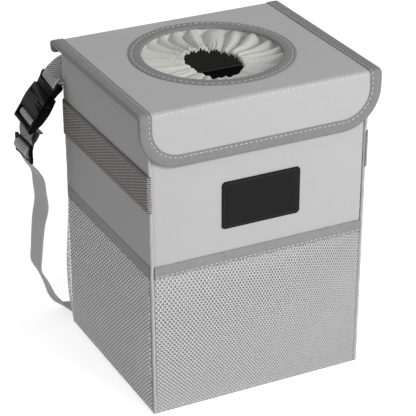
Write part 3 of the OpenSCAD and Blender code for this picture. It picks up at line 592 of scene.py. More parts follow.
path, out, across = bound_edge(front_side, flap_low, flap_r)
on_lid = np.clip((path[:, 1] + 79.5) / 2, 0, 1)
flap_tape = edge_tape("flap_tape", path, out, across, None, ["flap_binding"], tape_w,
                      np.where(np.abs(out[:, 1] * out[:, 2]) > 0.01, 2.2, 2.0 + 0.6 * on_lid),
                      tape_w - 4.4 * on_lid)
seam = stitches("flap_stitches", inside(path, out, across, stitch_up, tape_w - stitch_in), out,
                None)
crease_seam = stitches("crease_stitches", joined(np.linspace(-86.5, 86.5, 80), -81.1, 245.85),
                       (0, -0.77, 0.64), None)
for part in (flap_tape, seam, crease_seam):
    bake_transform(part)

path, out, across = bound_edge(back_side, lip_low, lip_r)
on_lid = np.clip((path[:, 2] - 243.0) / 4, 0, 1)
lip_tape = edge_tape("lip_tape", path, out, across, None, ["back_lip_binding"],
                     4.6 + 4.6 * on_lid, 0.8 + 1.8 * on_lid * (path[:, 1] < 79), 3.6)
seam = stitches("lip_stitches", inside(path, out, across, stitch_up, 2.6 + 4.4 * on_lid), out,
                None)
for part in (lip_tape, seam):
    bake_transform(part)

skyward = np.array([0.0, 0.0, 1.0])
for s, side in SIDES:
    path = joined(s * half_lid, np.linspace(front_strip_y, back_strip_y, 120), lid_top)
    across = np.array([-s, 0.0, 0.0])
    edge_tape(side + "_lid_tape", path, skyward, across, "lid", [side + "_lid_binding"], tape_w,
              2.6, 4.8)
    stitches(side + "_lid_stitches",
             inside(path, skyward, across, stitch_up, tape_w - stitch_in), skyward, "lid")

# Hole ring.
# The same tape, sewn flat on the lid round the hole and turned down over the hole's edge.
turn = circle(240)
away = joined(np.cos(turn), np.sin(turn), 0)
path = away * hole_r + [hole_x, hole_y, lid_top]
profile = np.array([(0, 5.2), (0.45, 5.2), (0.66, 4.9), (0.66, 3.1), (0.44, 2.4), (0.66, 1.7),
                    (0.74, 0), (0.72, -3), (0.55, -4.3), (0.1, -4.75), (-1.2, -4.7),
                    (-1.3, -4.1), (-0.3, -3.9), (-0.1, -3.4)])
tuck = (0.05 * np.sin(TAU * np.arange(240) / 3.1))[:, None]
profile = profile + joined(tuck * (profile[:, 1] > 1.5), 0)
piece("hole_tape", *swept(path, skyward, away, profile, True), tape, "lid", "tape",
      ["hole_ring"], joined(run_of(profile[0]), turn[:, None] * hole_r))
closed = np.concatenate([away, away[:1]])
stitches("hole_stitches", closed * (hole_r + 2.4) + [hole_x, hole_y, lid_top + 0.45], skyward,
         "lid", 4.8, 3.0)

# Cuff.
# Thin stretch cloth sewn under the ring in deep irregular pleats; it funnels into the hole and
# ends in a narrow hem with elastic, which gathers it into tight ruffles.
cuff_cloth = woven("cuff_cloth", (0.64, 0.64, 0.605), 0.45, 0.04, 0.04, Sheen_Weight=0.1)
turn = circle(600)
down = np.linspace(0, 1, 60)[:, None]


def pleats(count, seed, uneven, twist=0.0):
    """Pleats round the circle: 2 |sin(count a / 2)| - 1, round on top and sharp in the
    valleys, with a wandering phase that also drifts down the cloth by twist, and uneven depth."""
    dice = np.random.default_rng(seed)
    phase = sum(dice.uniform(0.5, 1.5) * uneven / k * np.sin(k * turn + dice.uniform(0, 6.3))
                for k in (2, 3, 5, 7, 11))
    drift = twist * down * np.sin(3 * turn + dice.uniform(0, 6.3))
    deep = 1 + uneven * 0.5 * np.sin(5 * turn + dice.uniform(0, 6.3)) * np.sin(
        2 * turn + dice.uniform(0, 6.3))
    return (2 * np.abs(np.sin((count * turn + 2.2 * phase + drift) / 2)) - 1) * deep


lowest, cuff_r = 4.25, 56.0
front = 0.5 + 0.5 * np.cos(turn - lowest)
notch = np.exp(-((turn - lowest) / 0.11) ** 2)
mouth = 1 / np.sqrt((np.cos(turn) / 21.7) ** 2 + (np.sin(turn) / 30.0) ** 2)
mouth = mouth * (1 + 0.02 * np.sin(3 * turn + 1.0) + 0.015 * np.sin(7 * turn)) + 3.6 * notch
drop = 3.0 + 1.8 * front ** 2 + 1.0 * notch
radius = cuff_r + (mouth - cuff_r) * down
height = (245.9 - drop * down ** 0.8 - 0.9 * np.sin(np.pi * down)
          - 1.1 * (1 - front) * np.clip(down / 0.05, 0, 1))
broad, second, tight = pleats(21, 4, 0.7, 1.6), pleats(37, 17, 1.0, 2.0), pleats(66, 9, 0.5, 1.0)
grow = np.clip(down / 0.03, 0, 1) ** 0.6
near = np.clip((down - 0.56) / 0.26, 0, 1)
x, y = radius * np.cos(turn), radius * np.sin(turn)
crumple = 0.55 * ripple(x, y, 4.4, 61) + 0.5 * ripple(x, y, 2.8, 62)
relief = ((3.3 * broad - 2.0) * grow * (1 - (0.6 + 0.22 * front) * down)
          + (0.6 - 0.5 * np.cos(turn)) * second * np.clip((down - 0.2) / 0.5, 0, 1)
          * (1 - 0.4 * near)
          + near * (0.62 * tight + 0.8 * crumple) * (1 - 0.45 * front))
radius = radius + 0.45 * near * tight
grid = joined(hole_x - 0.5 * down + radius * np.cos(turn),
              hole_y - 3.6 * down + radius * np.sin(turn), height + relief)
inward = joined(-np.cos(turn), -np.sin(turn), 0)
hem = [grid[-1] + 0.9 * (inward * np.sin(a) - skyward * (1 - np.cos(a)))
       for a in np.linspace(0.2, 1.0, 8) * np.pi]
under = np.linspace(0, 1, 8)[1:, None, None] * (-inward * 4.6 + [0, 0, 0.5]) + hem[-1]
grid = np.concatenate([grid, np.array(hem), under])
uv = joined(turn * 40.0, np.arange(len(grid))[:, None] * 0.5)
sheet_piece("cuff_gather", grid[::-1], 0.25, cuff_cloth, "lid", "cuff_cloth", ["cuff"], uv[::-1],
            True, flat=(0.36, 0.055), area=0.0125, held="gathered", rests_on=["cuff_elastic"])

# Cuff elastic.
# A soft round cord in the cuff's hem, which draws it to the opening's oval.
elastic = ribbed("elastic", (0.66, 0.66, 0.63), 0.8, 0.1)
away = -inward[::2]
path = (mouth + 1.9)[::2, None] * away + [hole_x - 0.5, hole_y - 3.6,
                                          grid[59, :, 2].mean() - 0.7]
piece("cuff_cord", *swept(path, skyward, away, 0.55 * rays(circle(8)), True), elastic, "lid",
      "elastic", ["cuff_elastic"], joined(np.arange(8) * 0.4, np.arange(300)[:, None] * 0.6))

# Mesh pockets.
# Knitted net: fine threads round six-cornered holes in staggered rows, drawn up where the threads
# are knotted, stretched over the front and both sides and open at the top.
net = Finish("net_yarn", Roughness=0.5, Specular_IOR_Level=0.8)
u, v = net.along()
# Painted light on the yarn, from the UV's second number: painted highlight on the knots and painted
# shade at the holes.
net.paint(v * 1.1 + net.noise(300.0) * 0.2, 0.43, 0.93)


def net_piece(name, width, tall, across, climb, warp, place, nodes, glow, thick):
    """Net over a flat rectangle, in mm. Its cells repeat by the steps across and climb; each is a
    hexagon whose hole has ten corners. The threads' front and back share the hole's corners and
    part towards their middles. warp(u, v) says how unevenly the net is stretched, place(u, v, out)
    turns the flat net into the pocket's shape. The yarn is thick times its usual width. Its colour
    is
    painted light: a painted highlight on the knots, rising with their height, and painted shade at
    the holes, where glow sets how much painted light is left."""
    across, climb = np.array(across), np.array(climb)
    spare = int(2.2 * (width + tall) / 3)
    steps = np.arange(-spare, spare)[:, None]
    centres = (steps[:, None] * across + steps * climb).reshape(-1, 2)
    middle = warp(*centres.T)
    reach = np.abs(middle - [0, tall / 2]) < [width / 2 + 1.5, tall / 2 + 1.5]
    centres = centres[np.all(reach, axis=1)]
    share = np.array([(.5, -.333), (.5, .333), (.25, .5), (0, .667), (-.25, .5), (-.5, .333),
                      (-.5, -.333), (-.25, -.5), (0, -.667), (.25, -.5)])
    corner = share[:, :1] * across + share[:, 1:] * (climb - across / 2)
    lift = np.array([.42, .42, .26, .42, .26, .42, .42, .26, .42, .26])
    thread_r = thick * np.array([.55, .55, .46, .34, .46, .55, .55, .46, .34, .46])
    hole = corner * (1 - thread_r / np.linalg.norm(corner, axis=1))[:, None]
    rim, well = centres[:, None] + corner, centres[:, None] + hole
    corners = len(corner)
    count = len(centres) * corners
    high = np.broadcast_to(lift, rim.shape[:2]).ravel()
    flat = np.concatenate([rim, well, rim]).reshape(-1, 2)
    up = np.concatenate([high, np.zeros(count), -0.35 * high])
    # Painted light for each point: knot height times (2 + glow) at the knots, and glow at the
    # holes.
    yarn_painted_light = np.append(high * (2.0 + glow), [glow] * 2 * count)
    flat += 0.09 * joined(ripple(*flat.T, 9, 2), ripple(*flat.T, 11, 4))
    this = np.arange(count)
    following = this // corners * corners + (this + 1) % corners
    faces = np.concatenate([joined(this, following, following + count, this + count) + a
                            for a in (0, count)])
    flat = warp(*flat.T)
    spots = np.clip(flat, [-width / 2, 0], [width / 2, tall])
    outside = np.any(np.abs(spots - flat) > 1e-6, axis=1)
    kept = faces[~np.all(outside[faces], axis=1)]
    points = place(spots[:, 0], spots[:, 1], np.where(outside, 0, up))
    thing = piece(name, points, kept, net, "root", "mesh", nodes,
                  joined(spots[:, 0], yarn_painted_light), sharp=180)


pocket_foot, pocket_tall, dome_tall, front_end = 1.6, 114.0, 116.0, 86.0


def even(u, v):
    return joined(u, v + pocket_tall / 2)


def drawn(u, v):
    """Front net: du = 0.80 - 0.0036 u across and dv = 0.68 + 0.0035 v upwards, closed form."""
    return joined(222.2 * (1 - np.exp(-0.0036 * u)), 194.3 * (np.exp(0.0035 * (v + 66)) - 1))


def rise(v):
    """How far a pocket stands out at height v, from 0 to 1: a sine, fullest below the middle."""
    return np.sin(np.pi * np.clip(v / dome_tall, 0, 1) ** 0.8)


def over_front(u, v, up):
    """Front pocket: bulges by the square root of a flattened dome across, times rise."""
    across = np.clip(np.abs(u) / front_end, 0, 1)
    dome = np.sqrt(np.clip(1 - across ** 8, 0, 1)) * rise(v)
    sag = 0.3 * ripple(u, v, 45, 12) * dome
    return joined(u, -78.15 - 0.9 * dome - sag - up, pocket_foot + v)


def over_side(s):
    """Side pockets: fuller, (1 - across^14)^0.6 times rise, and flatter towards the front."""
    def place(u, v, up):
        across = np.clip(np.abs(u) / 76.6, 0, 1)
        dome = np.clip(1 - across ** 14, 0, 1) ** 0.6 * rise(v)
        sag = 0.35 * ripple(u, v, 40, 14 + s) * dome
        full = 7.4 - 5.4 * np.clip(0.5 - s * u / 100, 0, 1) ** 1.5
        return on_side(s, 0.15 + full * dome + sag + up, s * u, pocket_foot + v)
    return place


# The side nets get far more painted light (glow 1.0, against 0.15 in front), for the sides lie in
# shade.
net_piece("front_net", 172.0, pocket_tall, (3.22, -0.42), (1.58, 2.03), drawn, over_front,
          ["front_pocket_mesh"], 0.15, 1.0)
for s, side in SIDES:
    net_piece(side + "_net", 152.6, pocket_tall, (4.33, 0.84), (2.43, 2.36), even, over_side(s),
              [side + "_pocket_mesh"], 1.0, 1.25)

# Pocket bands.
# The mouth of each pocket is bound in the same grey tape, folded over the net and sewn down by
# a single line near its lower edge. The front one runs from corner seam to corner seam.
middle_z, band_t, groove = 120.2, 0.8, -3.2
band_tape = ribbed("band_tape", (0.30, 0.30, 0.30), 0.75, 0.1)


def band(side, path, out, sewn_at, yarn):
    """Flat tape along a path, with softly rounded edges and a groove below its middle, where
    it is sewn; sewn_at is how high the stitches lie."""
    face = np.array([0.25, 0.9, 1, 1, 0.6875, 1, 1, 1, 0.9, 0.25, 0, 0]) * band_t
    across = np.array([-5, -4.65, -3.8, groove - 0.7, groove, groove + 0.7, 0, 3.8, 4.65, 5, 5,
                       -5])
    profile = joined(face, across)[::-1]
    piece(side + "_band", *swept(path, out, skyward, profile), band_tape, "root", "tape",
          [side + "_pocket_band"], joined(across[::-1], run_of(path)[:, None]))
    stitches(side + "_band_stitches", path + np.multiply(out, sewn_at) + skyward * groove, out,
             "root", finish=yarn)


x, y = np.linspace(-front_end, front_end, 150), np.linspace(-side_end, side_end, 140)
front_out = (0.0, -1.0, 0.0)
band("front", joined(x, -77.95 - 0.1 * ripple(x, 0, 60, 6), middle_z), front_out, 0.62, thread)
for s, side in SIDES:
    band(side, on_side(s, -0.5 + 0.1 * ripple(y, 0, 60, 7), y, middle_z), (s, 0.0, 0.0), 0.66,
         grey_thread)

# Side webbing.
# Wide dark grey twill webbing sewn across each side; it passes over both corner seams and ends
# at the front and back cloths, where its cut ends show.
web_low, web_high, twill_pitch, twill_lean = 169.8, 198.8, 2.35, 0.42
twill = Finish("twill", Roughness=0.7, Specular_IOR_Level=0.3)
u, v = twill.along()
slant = ((v - u * twill_lean) * (TAU / twill_pitch) + twill.noise(260.0) * 1.6).sine() * 0.5 + 0.5
yarn = u.wave(0.9)
selvedge = (v - 184.3).size().between(10.6, 11.0)
tone = slant * (1 - selvedge * 0.6) * 0.75 + yarn * 0.1 + twill.noise(220.0) * 0.15
twill.paint(tone, (0.10, 0.097, 0.09), (0.32, 0.31, 0.29))
twill.bumped(yarn * 0.5, 0.05)

a = np.linspace(0, np.pi / 2, 9)
bend = 2.4
corner_out, corner_y = -1.4, 76.9
over = [corner_out, corner_y] + bend * rays(a)
lead = joined(1.0, np.linspace(-corner_y, corner_y, 192)[1:-1])
line = np.concatenate([(over * [1, -1])[::-1], lead, over])
slope = np.gradient(line, axis=0)
facing_out = unit(joined(slope[:, 1], -slope[:, 0]))
run, z = np.meshgrid(run_of(line), np.linspace(web_low, web_high, 90))
from_edge = np.minimum(z - web_low, web_high - z)
rib = 0.5 + 0.5 * np.sin(TAU * (z - twill_lean * run) / twill_pitch)
relief = (0.28 * (rib ** 0.7 - 0.6) * np.clip((from_edge - 2.6) / 0.8, 0, 1)
          - 0.15 * np.exp(-from_edge / 0.3))
seam_y, tack_z = np.linspace(-74, 74, 90), np.linspace(web_low + 0.6, web_high - 0.6, 30)
for s, side in SIDES:
    grid = on_side(s, line[:, 0] + relief * facing_out[:, 0],
                   s * (line[:, 1] + relief * facing_out[:, 1]), z)
    sheet_piece(side + "_web", grid, 0.9, twill, "root", "side_webbing", [side + "_webbing"],
                joined(run, z))
    for seam_z in (web_low + 2.2, web_high - 3.2):
        stitches("%s_web_stitches_%d" % (side, seam_z), on_side(s, 1.12, seam_y, seam_z),
                 (s, 0, 0), "root", 2.2, 1.2, 0.26, grey_thread)
    # The ends are tacked down by three rows of short stitches over the corner seam.
    for e, end in ENDS:
        for row, angle in enumerate((0.35, 0.8, 1.3)):
            out, ahead = np.cos(angle), np.sin(angle)
            path = on_side(s, corner_out + bend * out, e * (corner_y + bend * ahead), tack_z)
            stitches("%s_web_%s_tack_%d" % (side, end, row), path, (s * out, e * ahead, 0),
                     "root", 1.55, 0.85, 0.27)

# Patch.
# A plain dark rubbery patch, stiff and a little domed, sewn to the front along its edge.
rubber = mottled("rubber", 40.0, 0.010, 0.016, Roughness=0.6, Specular_IOR_Level=0.08)
rubber.bumped(rubber.noise(900.0) * 0.6 + rubber.noise(120.0) * 0.4, 0.05)


def rounded(w, h, r, points=8):
    """Outline of a w by h rectangle with round corners, counter-clockwise from its right side."""
    quarter = rays(np.linspace(0, np.pi / 2, points)) * r + [w / 2 - r, h / 2 - r]
    half = np.concatenate([quarter, quarter[::-1] * [-1, 1]])
    return np.concatenate([half, -half])


def pad(name, size, r, centre, steps, face_y, out, finish, body, slot, nodes):
    """Flat piece with a rounded outline on a face at face_y, rising towards out (-1 is front):
    steps are (inset, height) pairs from its edge to its middle. It is closed at both middles."""
    rows = []
    for inset, height in [(0, 0), *steps]:
        w, h = size[0] - 2 * inset, size[1] - 2 * inset
        x, z = (rounded(w, h, max(r - inset, 0.4)) + centre).T
        rows.append(joined(x, face_y + out * height, z))
    ends = [np.broadcast_to(row.mean(0), row.shape) for row in (rows[0], rows[-1])]
    grid = np.array([ends[0], *rows, ends[1]])
    piece(name, grid, quads(*grid.shape[:2], False, True), finish, body, slot, nodes,
          grid[..., ::2])


patch_size, patch_at, patch_seam = (64.5, 38.0), (0.8, 162.6), 3.4
pad("patch", patch_size, 3.0, patch_at,
    [(0.0, 0.75), (0.25, 1.0), (1.3, 1.05), (1.7, 0.85), (2.1, 1.05), (4.5, 1.2), (12, 1.3)],
    -panel_y, -1, rubber, "root", "patch", ["front_patch"])
edge = rounded(patch_size[0] - patch_seam, patch_size[1] - patch_seam, 1.6) + patch_at
edge = np.concatenate([edge, edge[:1]])
stitches("patch_stitches", joined(edge[:, 0], -panel_y - 0.78, edge[:, 1]), front_out, "root",
         2.9, 2.1, 0.24, dark_thread, "patch")

# Closure strips.
# Grey loop tape on the front and hook tape behind the flap, which hold the flap down.
closure = Finish("closure", Roughness=0.95, Specular_IOR_Level=0.2)
pile = closure.noise(1400.0, detail=3.0)
closure.paint(pile * 0.7 + closure.noise(60.0) * 0.3, 0.20, 0.34)
closure.bumped(pile, 0.35)
pad("loop_tape", (90.0, 18.0), 2.0, (0, 226.0), [(0, 0.7), (0.3, 1.0), (1.5, 1.0)], -panel_y, -1,
    closure, "root", "closure", ["loop_strip"])
pad("hook_tape", (90.0, 18.0), 2.0, (0, 226.0), [(0, 0.6), (0.3, 0.88), (1.5, 0.9)], flap_back, 1,
    closure, "flap", "closure", ["hook_strip"])

# Rim tape.
# The grey tape, folded over the top of the walls and sewn through them and the facing.
wall_z, rim_leg = 244.0, 8.3
outline = rounded(2 * 89.4, 2 * panel_y, 2.0, 9)
path = []
for a, b in zip(outline, np.roll(outline, -1, 0)):
    count = max(1, int(np.linalg.norm(b - a) / 2.0))
    path += [a + (b - a) * j / count for j in range(count)]
path, core = np.array(path), np.array([base_x, 75.5])
away = unit(path - np.clip(path, -core, core))


def wall_through(spot, d, w=84.6, h=74.5, r=5.4):
    """Distance from a point outside back along d to the inner wall, a rounded rectangle."""
    tx = (abs(spot[0]) - w) / max(abs(d[0]), 1e-6)
    ty = (abs(spot[1]) - h) / max(abs(d[1]), 1e-6)
    t = tx if abs(d[1]) < 1e-6 else ty if abs(d[0]) < 1e-6 else max(tx, ty)
    hit = np.abs(spot - d * t) - [w - r, h - r]
    if min(hit) > 0:
        p, q = np.abs(spot) - [w - r, h - r], np.abs(d)
        t = p @ q - np.sqrt(max((p @ q) ** 2 - p @ p + r * r, 0))
    return t


thick = np.array([wall_through(p, d) for p, d in zip(path, away)])
out, path = joined(*away.T, 0), joined(*path.T, wall_z)
edge_tape("rim_tape", path, out, -skyward, "root", ["rim_binding"], rim_leg, thick, rim_leg, True)
seam = np.concatenate([path, path[:1]]) + skyward * (stitch_in - rim_leg)
around = np.concatenate([out, out[:1]])
stitches("rim_stitches", seam + around * stitch_up, around, "root")
stitches("rim_inner_stitches", seam - around * (np.append(thick, thick[0])[:, None] + 0.72),
         -around, "root")

# Facing and liner.
# A band of dark cloth joins the rim to a thin black waterproof tub, which is loosely fitted and
# has small creases. Both glow faintly: painted light. A welded line runs along the liner's top;
# the cloth carries a painted highlight line at 200 to 201.4 mm and is painted brighter above
# 201.5 mm.
inner_x, inner_y, floor_z, liner_z = 85.2, 75.1, 3.2, 190.0
lining_cloth = woven("lining_cloth", (0.035, 0.035, 0.036), 0.5, 0.04, 0.1, Roughness=0.7)
u, v = lining_cloth.along()
# Painted light: the cloth glows faintly, brighter above 201.5 mm, with a painted highlight line at
# 200 to 201.4 mm.
light = v.between(201.5, 203.0) * 0.5 + v.between(200.0, 200.6) * (1 - v.between(201.4, 202))
lining_cloth.set(Emission_Color=lining_cloth.shade(light, 0.1, 1.0), Emission_Strength=0.027)
# The film glows faintly too: painted light.
film = mottled("film", 30.0, (0.006, 0.006, 0.007), (0.011, 0.011, 0.012),
               Specular_IOR_Level=0.5, Emission_Color=(1, 1, 1, 1), Emission_Strength=0.003)
film.set(Roughness=film.noise(60.0).between(0.30, 0.46))
film.bumped(film.noise(250.0), 0.04)


def tub(inset, points=20):
    """Rounded outline of the inside, clockwise from above, drawn in by inset."""
    spots = rounded(2 * (inner_x - inset), 2 * (inner_y - inset), 6.0 - inset, points)[::-1]
    spots = joined(*np.concatenate([spots, spots[:1]]).T, 0)
    return along_path(spots, np.linspace(0, run_of(spots)[-1], 301))[:-1, :2]


ring = tub(0.7)
run = run_of(ring)


def walls(loose, z):
    """The ring at each height, as far from the wall as loose says."""
    return joined(*np.moveaxis(ring - unit(ring) * loose[..., None], -1, 0), z)


z = np.append(np.linspace(liner_z - 3, liner_z + 1, 4), np.linspace(192, 243.2, 24))[:, None]
loose = 0.25 + 0.25 * ripple(run, z, 60, 41) + 0.1 * ripple(run, z, 17, 42)
loose = np.abs(loose) * np.clip((243 - z) / 6, 0, 1) ** 0.5
sheet_piece("facing", walls(loose, z), 0.5, lining_cloth, "root", "facing", ["inner_facing"],
            joined(run, z), True, flat=(0.631, 0.056), held="stretched",
            rests_on=["front_board", "back_board"])

foot, top = floor_z + 0.6, liner_z - 0.5
z = np.concatenate([np.linspace(foot, floor_z + 7, 8), np.linspace(12, top, 80)])[:, None]
loose = 0.5 + 0.45 * ripple(run, z, 75, 51) + 0.22 * ripple(run, z, 24, 52)
loose = np.maximum(loose, 0.05) * np.clip((liner_z - z) / 10, 0, 1)
wall = walls((loose + 3.0 * (1 - np.clip((z - foot) / 6, 0, 1))) * 0.9, z)
k = np.linspace(0, 1, 24)[:-1, None]
x, y = wall[0, :, 0] * k, wall[0, :, 1] * k
bottom = joined(x, y, foot + 0.25 * (1 + ripple(x, y, 70, 55)) * (1 - k ** 8))
outer = joined(*tub(0.05).T, np.array([[top], [100.0], [floor_z + 0.02]]))
grid = np.concatenate([bottom, wall, outer, outer[-1:] * [0, 0, 1]])
liner = piece("liner", grid, quads(*grid.shape[:2], False, True), film, "root", "liner",
              ["waterproof_liner"], joined(run, run_of(grid[:, 0])[:, None]))

# Linings.
# Dark cloth under the lid and behind the flap, held by the tape along their edges.
# Both linings share the cloth's faint painted glow.
way = rays(circle(240))
x, y = round_hole(55.6, half_lid - 0.6, -77.6, 78.0)
sheet_piece("lid_inner", joined(x, y, 245.0), 0.5, lining_cloth, "lid", "lid_lining",
            ["lid_lining"], joined(x, y), True, flat=(0.194, 0.157), area=0.0206,
            held="stretched", rests_on=["lid_board"])
z = np.linspace(flap_low + 0.4, 244.4, 40)[:, None]
x = np.linspace(1, -1, 40) * (corner_width(z, flap_low, flap_r) - 0.6)
sheet_piece("flap_inner", joined(x, flap_back, z), 0.45, lining_cloth, "flap", "lid_lining",
            ["flap_lining"], joined(x, z), flat=(0.194, 0.039), held="stretched",
            rests_on=["flap_board"])

# Straps.
# Polypropylene webbing 25 mm wide, in a coarse pepper-and-salt weave above the slider and a
# plainer, lighter one below it. Reinforcing patches lie under its sewn ends.
strap_w, strap_t, anchor_z, anchor_x, anchor_y = 25.0, 1.2, 221.5, 48.0, 79.45
buckle_at, buckle_turn = np.array([-95.0, 87.5, 211.2]), (33.5, -5.0, 88.0)
slider_at, slider_turn = np.array([-118.0, 93.5, 156.5]), (0.0, 0.0, 90.0)


def turned(angles):
    """Matrix that turns about X, then Y, then Z by those degrees."""
    return np.array(Matrix.Rotation(np.radians(angles[2]), 3, "Z")
                    @ Matrix.Rotation(np.radians(angles[1]), 3, "Y")
                    @ Matrix.Rotation(np.radians(angles[0]), 3, "X"))


def at_buckle(points):
    return buckle_at + np.asarray(points, float) @ turned(buckle_turn).T


def at_slider(points):
    return slider_at + np.asarray(points, float) @ turned(slider_turn).T


def smooth(points, steps):
    """Curve through the points, each stretch a cubic whose slopes come from its neighbours."""
    p = np.asarray(points, float)
    ends = np.concatenate([p[:1], p, p[-1:]])
    a, b, c, d = (ends[k:len(p) - 1 + k, None] for k in range(4))
    t = (np.arange(steps) / steps)[:, None]
    mid = b + 0.5 * t * ((c - a) + t * ((2 * a - 5 * b + 4 * c - d)
                                        + t * (3 * b - a - 3 * c + d)))
    return np.concatenate([mid.reshape(-1, p.shape[1]), p[-1:]])


def strap(name, route, sides, finish, body, nodes, steps=8, rows=slice(None)):
    """Webbing along a route, sides giving the direction across it, with rounded selvedges. Only
    those rows of it are made."""
    path, across = smooth(route, steps), smooth(sides, steps)
    ahead = unit(np.gradient(path, axis=0))
    across = unit(across - (across * ahead).sum(1)[:, None] * ahead)
    half, thick = strap_w / 2, strap_t / 2
    wide = np.array([0.5 - half, 1.0 - half, *np.linspace(-9, 9, 9), half - 1.0, half - 0.5])
    high = thick * np.where(np.abs(wide) > half - 0.7, 0.75, 1.0)
    profile = np.concatenate([[(-half, 0)], joined(wide, high), [(half, 0)],
                              joined(wide, -high)[::-1]])
    return piece(name, *swept(path[rows], np.cross(ahead, across)[rows], across[rows],
                              profile[:, ::-1]),
                 finish, body, "strap_webbing", nodes,
                 joined(profile[:, 0], run_of(path)[rows, None]))


def webbing_finish(name, dark, light, pitch, dots, *shaded):
    """Webbing: staggered light dots, the product of two sines sharpened, over a dark ground,
    with plain light selvedges along both edges. Between each shaded pair of lengths it is
    darkened with painted shade."""
    finish = Finish(name, Roughness=0.6, Specular_IOR_Level=0.4)
    u, v = finish.along()
    weave = (u * (np.pi / pitch)).sine() * (v * (np.pi / pitch)).sine()
    spots = (weave * dots).between(-0.1, 0.6)
    tone = spots + u.size().between(10.6, 11.2) * 0.6
    # Painted shade: darker between each pair of lengths.
    for near, far in shaded:
        tone = tone * (1 - v.between(near, near + 3) + v.between(far, far + 3))
    finish.paint(tone + finish.noise(500.0) * 0.15 + finish.noise(20.0) * 0.1, dark, light)
    return finish.bumped(weave * weave * 0.8 + u.wave(1.1) * 0.2, 0.25)


dotted = webbing_finish("dotted_webbing", 0.04, 0.72, 1.15, 1.6)
pale_webbing = webbing_finish("pale_webbing", 0.42, 0.64, 1.0, 0.8)
# The loop's painted shade: darker from 8 to 33 mm and from 47 to 63 mm along it.
shade_painted_webbing = webbing_finish("two_faced_webbing", 0.13, 0.72, 1.15, 1.6, (8, 33), (47, 63))

# The anchor patches take the side cloth's colour, which is painted darker as painted shade.
for s, side in SIDES:
    pad(side + "_patch", (34.0, strap_w - 0.6), 1.5, (s * (anchor_x + 9.0), anchor_z),
        [(0, 1.0), (0.3, 1.28), (2.0, 1.3)], panel_y, 1, painted_shade_side_cloth, "root", "side_fabric",
        [side + "_anchor"])


def arc(r, z, degrees, flip=1):
    """Points round a bar at height z: sideways r cos(a), up z + flip r sin(a)."""
    return [(0, r * np.cos(a), z + flip * r * np.sin(a)) for a in np.radians(degrees)]


# Upper strap.
# From the left anchor over the bin's corner and round the bar of the buckle's pronged half.
across_top, across_low = turned(buckle_turn)[:, 0], turned(slider_turn)[:, 0]
wrap_r, female_z = 2.7, -34.1
up_steps = np.array([[0, 0, 0], [12, 0, 0], [21.7, 0, -0.2], [29.6, 0.4, -0.3], [36, 2.2, -1.6],
                     [39, 4.3, -0.9]])
up_route = [-anchor_x, anchor_y, anchor_z] + up_steps * [-1, 1, 1]
up_sides = [[0, 0, 1], [0, 0, 1], [0, 0.02, 1], [0, 0.1, 1], [-0.02, 0.3, 0.96],
            [0.2, 0.8, 0.8], [0.2, 1, 0.4]]
round_pin = [(0, 2, 5.4), (0, 2.5, 3.2), (0, wrap_r, 1.4),
             *arc(wrap_r, 0, range(0, 181, 30), -1), (0, -wrap_r, 1.2), (0, -2.3, 3.2)]
strap("upper_strap", np.concatenate([up_route, at_buckle(round_pin)]),
      up_sides + [across_top] * (len(round_pin) - 1), dotted, "root", ["strap_upper"])

# Loop strap.
# Sewn round the slider's middle bar, it goes up round the socket's bar and back down through the
# slider. Between the two bars it is darkened with painted shade, for it lies in shade there.
mid_r, over_r, behind_y, pitch = 2.0, 3.5, 2.1, 6.6
cross = np.degrees(np.arccos((behind_y + over_r) / pitch))
rising = arc(mid_r, 0, range(60, -181, -30)) + [
    (0, -behind_y - 1.5 - 6.5 * q, z) for q, z in ((0, pitch), (.4, 10), (.75, 14), (.8, 18))]
round_bar = [(0, -4.15, female_z - 2.9), *arc(wrap_r, female_z, 169 - 23.5 * np.arange(11)),
             (0, -1.6, female_z - 5.3)]
cut_z = -pitch - 1.5
behind = arc(behind_y, pitch, [180, 225 - cross / 2, 270 - cross])
falling = [(0, -behind_y - 0.3, 16.5), (0, -behind_y + 0.3, 12.5), *behind,
           *arc(over_r, 0, 90 - cross - (90 - cross) * np.arange(5) / 2),
           *((0, y, -z) for _, y, z in behind[::-1]), (0, -behind_y, cut_z)]
both_ways = [across_low + across_top]
loop = strap("loop_strap",
             np.concatenate([at_slider(rising), at_buckle(round_bar), at_slider(falling)]),
             [across_low] * len(rising) + both_ways + [across_top] * (len(round_bar) - 2)
             + both_ways + [across_low] * len(falling), shade_painted_webbing, None, ["strap_loop"], 5)
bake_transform(loop)

# Neck and lower strap.
# From the slider down, along the floor behind the bin and up to the right anchor. The neck under
# the slider is a piece of its own.
low_route = [[-112, 93.8, 139], [-107.3, 94.5, 130], [-106.2, 94.5, 119], [-105.2, 94.5, 105],
             [-108.2, 94.5, 90.6], [-110, 94.5, 76.7], [-111.2, 94.5, 63.7], [-112, 94.5, 50.3],
             [-106.3, 94.5, 38.2], [-101.2, 94.5, 25.7], [-96.1, 94.5, 15.4], [-89, 94.5, 6.5],
             [-80, 94.5, 2.2], [-66, 94.5, 1], [-30, 95, 1], [10, 96, 1], [50, 96, 1],
             [74, 95, 1.6], [90, 94.5, 6], [101, 94.5, 17], [107, 94.5, 34], [110, 94.5, 60],
             [111, 94.5, 100], [110, 94, 150], [107, 92, 185], [102, 88.5, 207],
             [95.5, 84.2, 218.5]]
start = at_slider([(0, -behind_y, cut_z - 0.3), (0, -behind_y, cut_z - 3)])
finish_route = [[88, anchor_y + 1.3, anchor_z], [78, anchor_y + 0.3, anchor_z],
                [64, anchor_y, anchor_z], [anchor_x, anchor_y, anchor_z]]
last = len(low_route) - 1
lean = [0, 0, -.07, -.05, -.06, -.07, -.03, 0, .02, .03, .03, 0, -.2, -.3] + [0] * (last - 11)
upright = [0] * last + [1 / 3, 2 / 3, 1]
sides = [[x, 1 - z, z] for x, z in zip(lean, upright)] + [[0, 0, 1]] * 4
whole = np.concatenate([start, low_route, finish_route])
neck = strap("neck_strap", whole, sides, pale_webbing, None, [], 10, slice(0, 21))
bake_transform(neck)
lower = strap("lower_strap", whole, sides, pale_webbing, None, ["strap_lower"], 10,
              slice(20, None))
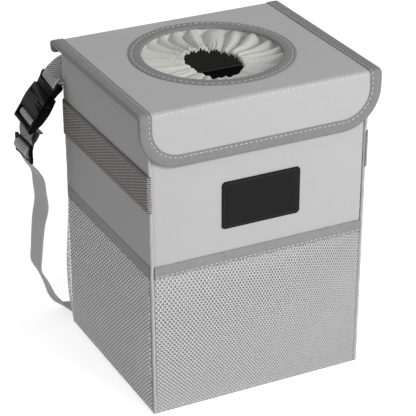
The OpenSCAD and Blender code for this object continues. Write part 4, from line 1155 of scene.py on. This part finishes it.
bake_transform(lower)

# Box stitches.
# Each sewn end of the strap is held by a box of stitches with a cross in it.
near, far, half = anchor_x + 2.0, anchor_x + 18.0, 9.5
box = np.array([(near, -half), (far, -half), (far, half), (near, half), (near, -half),
                (far, half), (far, -half), (near, half)])
for s, side in SIDES:
    stitches(side + "_box",
             joined(s * box[:, 0], anchor_y + strap_t / 2 + 0.05, anchor_z + box[:, 1]),
             (0, 1, 0), "root", 2.6, 1.9, 0.24)

# Buckle and slider.
# Moulded black plastic, softly broken edges, fine grain; kept in the shape of the CAD solids.
plastic = mottled("plastic", 60.0, 0.004, 0.007, Specular_IOR_Level=0.04)
plastic.set(Roughness=plastic.noise(60.0) * 0.1 + 0.34)
plastic.bumped(plastic.noise(900.0), 0.01)


def moulded(name, node, body, width):
    """Copy of a CAD solid with its edges rounded over width millimetres."""
    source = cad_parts[node]
    mesh = source.data.copy()
    mesh.transform(source.matrix_world)
    shape = bmesh.new()
    shape.from_mesh(mesh)
    bmesh.ops.remove_doubles(shape, verts=shape.verts, dist=2e-6)
    bmesh.ops.dissolve_limit(shape, angle_limit=np.radians(1.0), verts=shape.verts,
                             edges=shape.edges)
    shape.to_mesh(mesh)
    shape.free()
    mesh.polygons.foreach_set("use_smooth", np.ones(len(mesh.polygons), bool))
    thing = hang(name, mesh, plastic, body, [node])
    bevel = thing.modifiers.new("broken_edges", "BEVEL")
    bevel.width, bevel.segments, bevel.limit_method = width * MM, 2, "ANGLE"
    bevel.angle_limit = np.radians(35)
    bevel.harden_normals = True


moulded("prongs", "buckle_male", "root", 0.4)
moulded("socket", "buckle_female", "buckle_half", 0.45)
moulded("adjuster", "slider", "slider", 0.4)

# Boards.
# Stiff grey boards between the cloths keep their CAD shape.
card = mottled("card", 90.0, (0.30, 0.29, 0.28), (0.36, 0.35, 0.34), Roughness=0.85)
for place in ("front", "back", "left", "right", "base", "lid", "flap"):
    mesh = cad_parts[place + "_board"].data
    mesh.materials.clear()
    mesh.materials.append(card.material)
